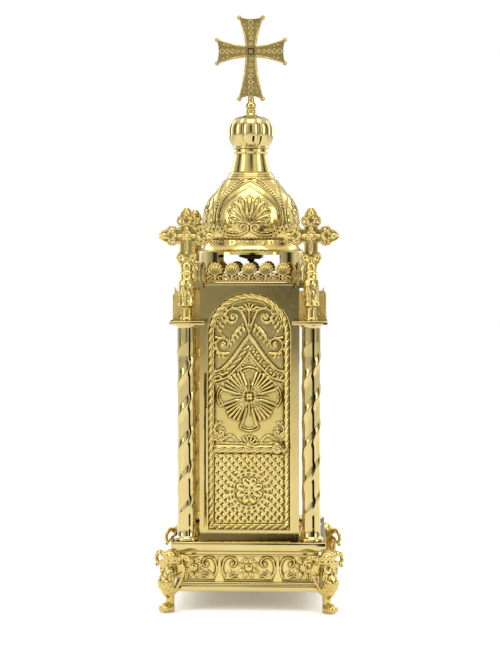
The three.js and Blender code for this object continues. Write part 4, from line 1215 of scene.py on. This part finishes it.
def finial_bar(low, high, start, end):
    """A broad flat shaft between two heights, with a rounded rail along each edge."""
    shapes = [box_shape((-FINIAL_ARM, -1.5, low), (FINIAL_ARM, 1.5, high))]
    for x in (-FINIAL_ARM, FINIAL_ARM):
        shapes.append(flat_bar([(x, start), (x, end)], 0, [(1.7, 1.2), (1.7, 1.2)]))
    return shapes


def finial_bud(reach):
    """One arm pointing up: a broad ribbed shaft and a bud with two side leaves and a set stone."""
    arm = finial_bar(0, reach * 0.46, 1, reach * 0.44)
    leaf = smooth([(3.2, 10.4), (7.4, 10.8), (8.6, 14), (8.0, 17.4), (5.2, 17.2), (5.0, 14.8)], 16)
    rim = smooth([(4.6, 15.4), (5.6, 18.4), (4.0, 23), (1.4, reach - 1.6)], 14)
    curl = smooth([(0.6, 11), (3.4, 13.4), (4.0, 16.4), (1.6, 17.6)], 12)
    for side in (-1, 1):
        flip = (side, 1)
        arm.append(flat_bar(leaf * flip, 0, [(1.9, 1.2), (1.8, 1.2), (1.3, 1.0)]))
        arm.append(flat_bar(rim * flip, 0, [(1.6, 1.3), (1.5, 1.2), (1.0, 0.9)]))
        for face in (-1, 1):
            arm.append(flat_bar(curl * flip, face * 1.8, [0.9, 0.8, 0.6], 8))
    arm.append(ball((0, 0, 15), (5.6, 1.7, 6.5), 16, 11))
    arm.append(ball((0, 0, 20.6), (4.6, 1.7, 6.4), 16, 11))
    for face in (-1, 1):
        arm.append(ball((0, face * 1.6, 21.8), (1.9, 1.1, 2.7), 14, 9))
        arm.append(flat_bar([(0, 3), (0, 8)], face * 1.7, [1.4, 1.0], 8))
    return arm


def finial_cross():
    """Three budded arms and the long shaft below, with a rosette at the crossing on both faces."""
    low, high = span("finial_front_left")
    tall, reach = high[2] - low[2], (high[0] - low[0]) / 2
    centre = tall - reach
    foot = 62
    shapes = []
    for turn in (0, 90, 270):
        shapes += [shift(turn_shape(shape, turn, axis=1), z=centre) for shape in finial_bud(reach - 0.3)]
    shapes += finial_bar(foot, centre, foot, centre)
    for face in (-1, 1):
        shapes.append(flat_bar([(0, foot + 4), (0, centre - 5)], face * 1.7, [1.0, 1.4], 8))
        for i in range(8):
            a = math.pi * i / 4
            petal = (3.2 * math.cos(a), face * 2.2, centre + 3.2 * math.sin(a))
            shapes.append(ball(petal, (1.5, 1.2, 1.5), 10, 7))
        shapes.append(ball((0, face * 3.0, centre), (1.8, 1.7, 1.8), 12, 9))
    return shapes


def make_finials():
    """One casting, set on each column at the height that the frame gives."""
    mesh = cast("finial", finial_shapes(), FINIAL_VOXEL, relax=1)
    for word in CORNERS:
        low, _ = span(f"finial_{word}")
        column_low, column_high = span(f"column_{word}")
        middle = (column_low + column_high) / 2
        copy = turned_mesh(mesh, 0, middle[0], middle[1], low[2])
        piece(f"finial_{word}", copy, "cast_gilt", sharp=60, hollows=(3, 0.3))
    bpy.data.meshes.remove(mesh)


# Cornice tray and cresting


def octagon(half, chamfer, z):
    """A square with its corners cut off."""
    e = half - chamfer
    outline = [(-e, -half), (e, -half), (half, -e), (half, e), (e, half), (-e, half), (-half, e), (-half, -e)]
    return [(x, y, z) for x, y in outline]


def make_tray():
    """An octagonal tray in two steps."""
    low, high = span("cornice_tray")
    half, z0, z1 = high[0], low[2], high[2]
    step = (z1 - z0) / 2
    rings = [octagon(half - 1.4, 13.7, z0), octagon(half - 1.4, 13.7, z0 + step - 0.2),
             octagon(half - 0.2, 14.5, z0 + step + 0.2), octagon(half, 14.5, z0 + step + 0.5),
             octagon(half, 14.5, z1 - 0.4), octagon(half - 0.4, 14.3, z1)]
    piece("cornice_tray", loft(rings), "polished_gilt", sharp=25)


def palmette(x, z, radius, y):
    """A round shell of nine fine ribs with a scalloped edge, standing on two curls and a drop."""
    middle = z + 19.4 - radius - 0.6
    shapes = [ball((x, y + 0.15, middle), (radius * 0.8, 0.4, radius * 0.8), 20, 9)]
    root = np.array([x, y - 0.3, middle - radius * 0.8])
    for turn in np.linspace(-112, 112, 9):
        a = math.radians(turn)
        tip = np.array([x + radius * 0.84 * math.sin(a), y - 0.2, middle + radius * 0.84 * math.cos(a)])
        shapes.append(tube([root, (root + tip) / 2, tip], [(0.45, 0.5), (0.6, 0.6), (0.8, 0.6)], 8))
        shapes.append(ball(tip, (1.5, 0.6, 1.5), 10, 7))
    for side in (-1, 1):
        a = np.linspace(0, 5.2, 12)
        reach = 2.6 * (1 - a / 8)
        curl = np.stack([x + side * (4.6 + reach * np.cos(a)), z + 3.6 + reach * np.sin(a)], -1)
        shapes.append(flat_bar(curl, y, [(0.55, 0.9), (0.5, 0.7)], 8))
    shapes.append(ball((x, y - 0.2, z + 4.2), (1.5, 0.45, 2.8)))
    return shapes


def crest_strip_shapes():
    """Five shells on a rail, with a small leaf between each two."""
    low, high = span("cresting_front")
    half, z = high[0], low[2]
    y = (low[1] + high[1]) / 2
    shells = 5
    pitch = 2 * half / shells
    shapes = [box_shape((-half, y - 0.55, z), (half, y + 0.55, z + 1.4))]
    for i in range(shells):
        shapes += palmette(-half + pitch * (i + 0.5), z, pitch * 0.44, y)
    for i in range(1, shells):
        x = -half + pitch * i
        leaf = [(x, y, z + 1), (x, y, z + 5), (x, y, z + 9)]
        shapes.append(tube(leaf, [(0.9, 0.5), (1.3, 0.55), (0.6, 0.5)], 8, side=(1, 0, 0)))
    return shapes


def crest_corner_shapes():
    """Pointed leaves on a chamfer, drawn facing -Y and turned later."""
    corner_low, corner_high = span("cresting_corner_front_right")
    half = math.hypot(corner_high[0] - corner_low[0], corner_high[1] - corner_low[1]) / 2 - 0.6
    middle = (corner_low + corner_high) / 2
    y = -math.hypot(middle[0], middle[1])
    z, tall = corner_low[2], corner_high[2] - corner_low[2]
    shapes = [box_shape((-half, y - 0.5, z), (half, y + 0.5, z + 1.6))]
    for x, rise in ((-5.6, 0.93), (0, 1.0), (5.6, 0.93)):
        for lean in (-0.9, 0.9):
            path = [(x + lean, y, z + 1), (x + lean * 2, y, z + tall * 0.45), (x, y, z + tall * rise - 0.8)]
            shapes.append(tube(path, [(1.4, 0.5), (1.6, 0.5), (0.5, 0.45)], 8, side=(1, 0, 0)))
        shapes.append(tube([(x, y - 0.3, z + 2), (x, y - 0.3, z + tall * 0.8)], [0.5, 0.4], 8))
    return shapes


def make_cresting():
    """Two castings, drawn facing the front: a strip for each side and leaves for each corner."""
    for stem, shapes, places, drawn_at in (
        ("cresting", crest_strip_shapes(), SIDES, 0),
        ("cresting_corner", crest_corner_shapes(), CORNERS, -90),
    ):
        mesh = cast(stem, shapes, CREST_VOXEL, relax=0)
        for word, degrees in places.items():
            copy = turned_mesh(mesh, degrees - drawn_at)
            piece(f"{stem}_{word}", copy, "cast_gilt", sharp=60, hollows=(2, 0.3))
        bpy.data.meshes.remove(mesh)


# Lantern and dome


def make_drum():
    """A sheet ring with one wide window in front and one behind."""
    low, high = span("lantern_drum")
    levels = [low[2], low[2] + 4, high[2] - 2.2, high[2]]
    half = WINDOW_HALF_DEGREES
    open_steps, wall_steps = 18, 24
    turns, window = [], []
    for middle in (0, 180):
        turns += list(np.linspace(middle - half, middle + half, open_steps, endpoint=False))
        turns += list(np.linspace(middle + half, middle + 180 - half, wall_steps, endpoint=False))
        window += [True] * open_steps + [False] * wall_steps
    count = len(turns)
    angle = np.radians(turns)
    points = np.array([
        np.stack([radius * np.sin(angle), -radius * np.cos(angle), np.full(count, z)], -1)
        for radius in (high[0], high[0] - DRUM_WALL) for z in levels
    ]).reshape(-1, 3)
    faces = []

    def quad(i, *corners):
        """One face between columns i and i + 1: corners are (layer, level, step)."""
        faces.append([(layer * 4 + level) * count + (i + step) % count for layer, level, step in corners])

    for i in range(count):
        for level in range(3):
            if level == 1 and window[i]:
                continue
            quad(i, (0, level, 0), (0, level, 1), (0, level + 1, 1), (0, level + 1, 0))
            quad(i, (1, level, 0), (1, level + 1, 0), (1, level + 1, 1), (1, level, 1))
        quad(i, (0, 0, 0), (1, 0, 0), (1, 0, 1), (0, 0, 1))
        quad(i, (0, 3, 0), (0, 3, 1), (1, 3, 1), (1, 3, 0))
        if window[i]:
            quad(i, (0, 1, 0), (0, 1, 1), (1, 1, 1), (1, 1, 0))
            quad(i, (0, 2, 0), (1, 2, 0), (1, 2, 1), (0, 2, 1))
            if not window[i - 1]:
                quad(i, (0, 1, 0), (1, 1, 0), (1, 2, 0), (0, 2, 0))
            if not window[(i + 1) % count]:
                quad(i, (0, 1, 1), (0, 2, 1), (1, 2, 1), (1, 1, 1))
    piece("lantern_drum", (points, faces), "polished_gilt", sharp=30)


def make_skirt():
    """The bell-shaped skirt: a thin beaded rim, a hollow flare and the dome's fringe over its neck."""
    low, high = span("dome_skirt")
    outer, z, top = high[0], low[2], high[2]
    neck, shelf = outer - 8.7, outer - 16.2
    flare = smooth([
        (outer - 0.3, z), (outer, z + 0.4), (outer - 0.2, z + 0.8), (outer - 1.2, z + 1.2),
        (outer - 2.8, z + 2.2), (outer - 4.6, z + 3.8), (outer - 6.4, z + 6.2), (outer - 7.6, z + 9),
        (neck, top),
    ], 40)
    inside = [(shelf, top), (shelf, top - 1.4), (neck - 1.5, top - 1.5), (outer - 9.6, z + 8),
              (outer - 8.2, z + 4.5), (outer - 5.8, z + 1.7), (outer - 3, z)]
    profile = [tuple(point) for point in flare] + inside + [tuple(flare[0])]
    angle = np.linspace(0, 2 * math.pi, 144, endpoint=False)
    rings = np.array([[(r * math.cos(a), r * math.sin(a), h) for a in angle] for r, h in profile])
    shapes = [grid(rings, wrap=True)]
    beads, drops = 120, 72
    for i in range(beads):
        a = 2 * math.pi * i / beads
        shapes.append(ball(((outer - 0.9) * math.cos(a), (outer - 0.9) * math.sin(a), z + 0.9), 0.75, 7, 5))
    for i in range(drops):
        a = 2 * math.pi * (i + 0.5) / drops
        big = i % 18 in (3, 14)
        size = (1.8, 1.8, 3.0) if big else (1.05, 1.05, 1.7 if i % 2 else 1.2)
        radius, height = neck + 0.9, top - (3.4 if big else 1.8)
        shapes.append(ball((radius * math.cos(a), radius * math.sin(a), height), size, 8, 6))
    piece("dome_skirt", joined(shapes), "embossed_gilt", sharp=40, hollows=(2, 0.3))


# The dome's side view from its rim to its neck, as radius and height above the rim
DOME_CURVE = np.array([
    (44.3, 0), (46.2, 2.4), (47.6, 6.5), (48.9, 17), (48.3, 24), (46.5, 32), (41.3, 42), (35.5, 48.5),
    (30, 55), (26, 60.5), (24.3, 64), (22.6, 65.5), (21.2, 69), (19.2, 76.5), (17.6, 84), (17.5, 85.6),
    (18.3, 87), (18.3, 90),
])


def dome_relief(offset, height):
    """Relief over one dome panel; offset is the distance round the dome from its middle line."""
    relief = Relief(offset, height)
    # Double line of the arch: down the side, in along the bottom and up into a scroll
    arch = [(0, 58.6), (-9, 55.4), (-18.3, 51.3), (-26, 46), (-31, 38), (-33.8, 29), (-34, 19), (-30.5, 10),
            (-23, 5.4), (-13.5, 4.2), (-6.5, 5.8), (-1.6, 9.4), (-2.4, 13.8), (-6.4, 15), (-8.8, 12),
            (-6.6, 10.2)]
    inner = [(0, 53.6), (-9.3, 48), (-18.5, 42.4), (-26, 35.6), (-29.2, 27), (-29, 17.3), (-26, 11),
             (-20, 7.6), (-12, 6.8)]
    for side in (-1, 1):
        flip = np.array([-side, 1])
        relief.vein(np.array(arch) * flip, 1.0, 1.5, 0.9, 60)
        relief.vein(np.array(inner) * flip, 0.7, 1.2, 1.0, 40)
        # Beads between the arch and its outer line, two by two
        band = smooth([(-12, 59.2), (-20, 56.4), (-28, 50), (-33.4, 42.6), (-35.6, 34)], 15)
        for i, (u, h) in enumerate(band * flip):
            relief.boss(u + side * 0.6, h + 1.3, 1.4, 1.4)
            relief.boss(u - side * 0.7, h - 1.5, 1.1, 1.3)
        # Leaves at the foot of the arch
        for i in range(4):
            root = np.array([-33.5 + 3.2 * i, 14 - 2.4 * i])
            tip = root + (-2.6 + i * 0.5, -5.4)
            relief.vein([root * flip, (root + tip) / 2 * flip + (0, 0.8), tip * flip], 1.5, 1.3, 0.5, 8)
        relief.vein([(side * 25, 12.6), (side * 21, 9.6), (side * 15, 9.4)], 1.2, 1.0, 0.5, 8)
    for i in range(19):
        relief.boss(-36 + 4 * i, 1.6, 1.2, 1.2)
    dome_fan(relief)
    for level, width in ((65.4, 0.9), (60.9, 0.75)):
        relief.raise_to(np.clip(1 - (np.abs(height - level) / width) ** 2, 0, 1) ** 0.5 * 1.2)
    return relief.height


def dome_fan(relief):
    """The palmette in the middle of a panel: tongues drawn by their raised rims."""
    root = np.array([0, 16.6])
    tips = [(0, 44.4, 3.4), (9.4, 42, 3.2), (17, 36.4, 3.0), (20.6, 29.2, 2.8), (19.6, 21.6, 2.5)]
    tips += [(-u, h, w) for u, h, w in tips[1:]]
    for u, h, wide in tips:
        tip = np.array([u, h])
        length = np.hypot(*(tip - root))
        along = (tip - root) / length
        across = left_of(along)
        half = ((2, 0.4), (length * 0.5, wide * 0.6), (length * 0.8, wide))
        rim = [root + along * v + across * w for v, w in half] + [tip]
        rim += [root + along * v - across * w for v, w in half[::-1]]
        relief.vein(rim, 0.75, 1.35, 1.0, 30)
        relief.vein([root + along * 3, root + along * length * 0.72], 0.7, 0.7, 0.6)
    for side in (-1, 1):
        relief.volute(side * 16.5, 16.2, 3.4, 90, 1.1 * -side, 0.8, 1.2)
    relief.boss(0, 16.4, 2.2, 1.5)


def make_dome():
    """The shell in even steps along its curve, with its relief outside and a plain inside."""
    low, _ = span("dome_shell")
    curve = smooth(DOME_CURVE, 160)
    steps = np.concatenate([[0], np.cumsum(np.hypot(*np.diff(curve, axis=0).T))])
    even = np.linspace(0, steps[-1], 175)
    radius = np.interp(even, steps, curve[:, 0])[:, None]
    z = np.interp(even, steps, curve[:, 1])[:, None]
    columns = 400
    degrees = np.linspace(0, 360, columns, endpoint=False)[None, :]
    panel = (degrees + 45) % 90 - 45
    # The widest part carries the drawing at full size; towards the neck it narrows with the dome
    full_size = 46
    offset = np.broadcast_to(np.radians(panel) * full_size, (len(z), columns)).copy()
    height = np.broadcast_to(z, offset.shape).copy()
    lift = dome_relief(offset, height)
    r = radius - DOME_RELIEF + np.clip(lift, 0, 1.5) * 0.93
    angle = np.radians(degrees)
    outer = np.stack([r * np.sin(angle), -r * np.cos(angle), np.broadcast_to(z + low[2], r.shape)], -1)
    inner = []
    for q, h in curve[::-8]:
        hollow = q - DOME_WALL
        inner.append([(hollow * math.sin(a), -hollow * math.cos(a), h + low[2]) for a in angle[0]])
    points, faces = grid(np.concatenate([outer, inner, outer[:1]]), wrap=True)
    piece("dome_shell", (points, faces), "embossed_gilt", sharp=70, hollows=(5, 0.42))


def make_bulb():
    """The ribbed bulb: eight lobes, flat on top."""
    low, high = span("bulb")
    z, tall = low[2], high[2] - low[2]
    profile = smooth([
        (16.6, 0), (17.6, 0.5), (17.9, 1.4), (17.2, 2.2), (18.2, 3.4), (20.2, 6.6), (22.2, 12.4),
        (22.7, 18), (22.2, 22.6), (20.6, 26.4), (17.2, 29.8), (13.6, 31.6), (10.6, 32.3), (8.0, tall),
    ], 70)

    def lobes(angle, height):
        on = np.clip((height - 1.8) / 4, 0, 1) * np.clip((tall - 0.6 - height) / 5, 0, 1)
        return 1 - on * 0.085 * (1 - np.abs(np.cos(4 * angle)) ** 0.6)

    piece("bulb", shift(lathe(profile, 144, lobes), z=z), "polished_gilt", sharp=40)


def make_stem():
    """Rings and a ball between the bulb and the cross."""
    low, high = span("cross_stem")
    tall, wide = high[2] - low[2], 6.9
    profile = smooth([
        (wide, 0), (wide, 0.5), (6.2, 1.1), (5.3, 2.2), (4.9, 2.9), (5.2, 3.4), (5.4, 4.0), (5.2, 4.6),
        (4.8, 4.9), (5.2, 5.3), (5.3, 5.9), (4.9, 6.5), (4.3, 6.8), (4.6, 7.5), (5.4, 8.6), (5.6, 10.2),
        (5.4, 11.6), (4.7, 12.7), (3.7, 13.4), (3.4, tall),
    ], 110)
    piece("cross_stem", shift(lathe(profile, 48), z=low[2]), "polished_gilt")


def arm_outline(v, length):
    """Half width of the top cross's arm at a distance from its centre."""
    share = np.clip(v / length, 0, 1)
    return CROSS_WAIST + (CROSS_FLARE - CROSS_WAIST) * share**1.9


def cross_arm(length, sockets):
    """One arm of the top cross, pointing up: rimmed faces with a row of sockets, a hollowed end."""
    waist, flare, half = CROSS_WAIST, CROSS_FLARE, CROSS_HALF
    share = np.linspace(-1, 1, 33)
    v = np.linspace(waist * 0.98, length - 1.6, 74)[:, None]
    u = share[None, :] * arm_outline(v, length)
    end = np.clip((v - waist) / (length - 1.6 - waist), 0, 1) ** 4
    v = v - end * (length * 0.1 - 1.2) * (1 - np.abs(share[None, :]) ** 2.2)
    relief = Relief(u, np.broadcast_to(v, u.shape).copy())
    wide = arm_outline(relief.z, length)
    relief.raise_to(np.clip(1 - np.abs(wide - 0.9 - np.abs(u)) / 0.9, 0, 1) ** 0.6 * 1.0)
    # The ground between the sockets is uneven, so that it sparkles
    relief.raise_to(0.12 + 0.1 * np.sin(relief.x * 2.2) * np.sin(relief.z * 1.9))
    for i, place in enumerate(np.linspace(waist + 2.2, length - 7.6, sockets)):
        size = 1.1 + 1.15 * i / sockets
        ring = [(0, place) + ray(turn) * size for turn in range(0, 361, 30)]
        relief.vein(ring, 0.6, 1.0, 1.0, 26)
        relief.boss(0, place, size * 0.4, 0.6)
    for side in (-1, 1):
        relief.boss(side * flare * 0.52, length - 9.4, 1.1, 0.9)
        relief.boss(side * flare * 0.42, length - 13, 0.9, 0.8)
    front = np.stack([relief.x, -half - relief.height * 0.6, relief.z], -1)
    back = np.stack([relief.x, half + relief.height * 0.6, relief.z], -1)[:, ::-1]
    shapes = [loft(np.concatenate([front, back], axis=1))]
    for side in (-1, 1):
        shapes.append(ball((side * (flare - 1.7), 0, length - 2.4), (2.4, 2.4, 2.4), 16, 11))
    return shapes


def make_top_cross():
    """Four flared arms, the lower one longer, around a block that carries the gem."""
    low, high = span("top_cross")
    reach = high[0]
    centre = high[2] - reach
    lower = centre - low[2]
    shapes = []
    for turn in (0, 90, 180, 270):
        length, sockets = (lower, 7) if turn == 180 else (reach, 5)
        shapes += [turn_shape(shape, turn, axis=1) for shape in cross_arm(length, sockets)]
    corner = np.array([CROSS_WAIST, CROSS_HALF, CROSS_WAIST])
    shapes.append(box_shape(-corner, corner))
    # A square gem in a rim at the crossing, as (half width, distance from the middle plane)
    for face in (-1, 1):
        gem = [[(s, face * y, s), (-s, face * y, s), (-s, face * y, -s), (s, face * y, -s)]
               for s, y in ((3.6, 1.8), (3.6, 3.0), (3.0, 3.1), (2.8, 2.5), (1.0, 3.2))]
        shapes.append(loft(gem))
    shapes.append(lathe([(3.4, -lower), (3.3, -lower + 1.5), (2.4, -lower + 6)], 24))
    shapes = [shift(shape, z=centre) for shape in shapes]
    piece("top_cross", joined(shapes), "pitted_gilt", sharp=45, hollows=(3, 0.28))


def make_clamp():
    """The dark clamp across the lantern: a bar cut off at a slant below, and its bolt."""
    low, high = span("dome_clamp_bar")
    (x0, y0, z0), (x1, y1, z1) = low, high
    side = [(x0, z1), (x0 + 1.5, z1 - 1.2), (x0 + 9, z0), (x1 - 1, z0), (x1, z0 + 1), (x1, z1)]
    piece("dome_clamp_bar", loft([[(x, y, z) for x, z in side] for y in (y0, y1)]), "dark_steel")
    low, high = span("dome_tie_bolt")
    thread = [(2.2 - 0.2 * (i % 2), low[2] + 0.5 * i) for i in range(11)]
    profile = [(0, low[2])] + thread + [(2.2, low[2] + 5.4), (2.2, high[2])]
    nut = [[(3.6 * math.cos(a), 3.6 * math.sin(a), z) for a in np.radians(range(0, 360, 60))]
           for z in (low[2] + 5.4, low[2] + 7.6)]
    piece("dome_tie_bolt", joined([lathe(profile, 24), loft(nut)]), "dark_steel")


# The studio, then the work from the door outwards and up


set_camera()
set_world()
set_floor()
add_light("left softbox", -52, 18, 1.5, (0.35, 1.1), 4)
add_light("right softbox", 58, 18, 1.5, (0.35, 1.1), 4)
add_light("rear left softbox", -140, 20, 1.6, (0.5, 1.1), 4)
add_light("rear right softbox", 140, 20, 1.6, (0.5, 1.1), 4)
add_light("top softbox", 0, 80, 1.7, (1.2, 1.2), 12)
bpy.context.scene.view_settings.view_transform = "Standard"

make_door()
make_knob()
dress_sheets()
make_slabs()
make_mouldings()
make_friezes()
make_feet()
make_columns()
make_capital()
make_parapets()
make_finials()
make_tray()
make_cresting()
make_drum()
make_skirt()
make_dome()
make_bulb()
make_stem()
make_top_cross()
make_clamp()
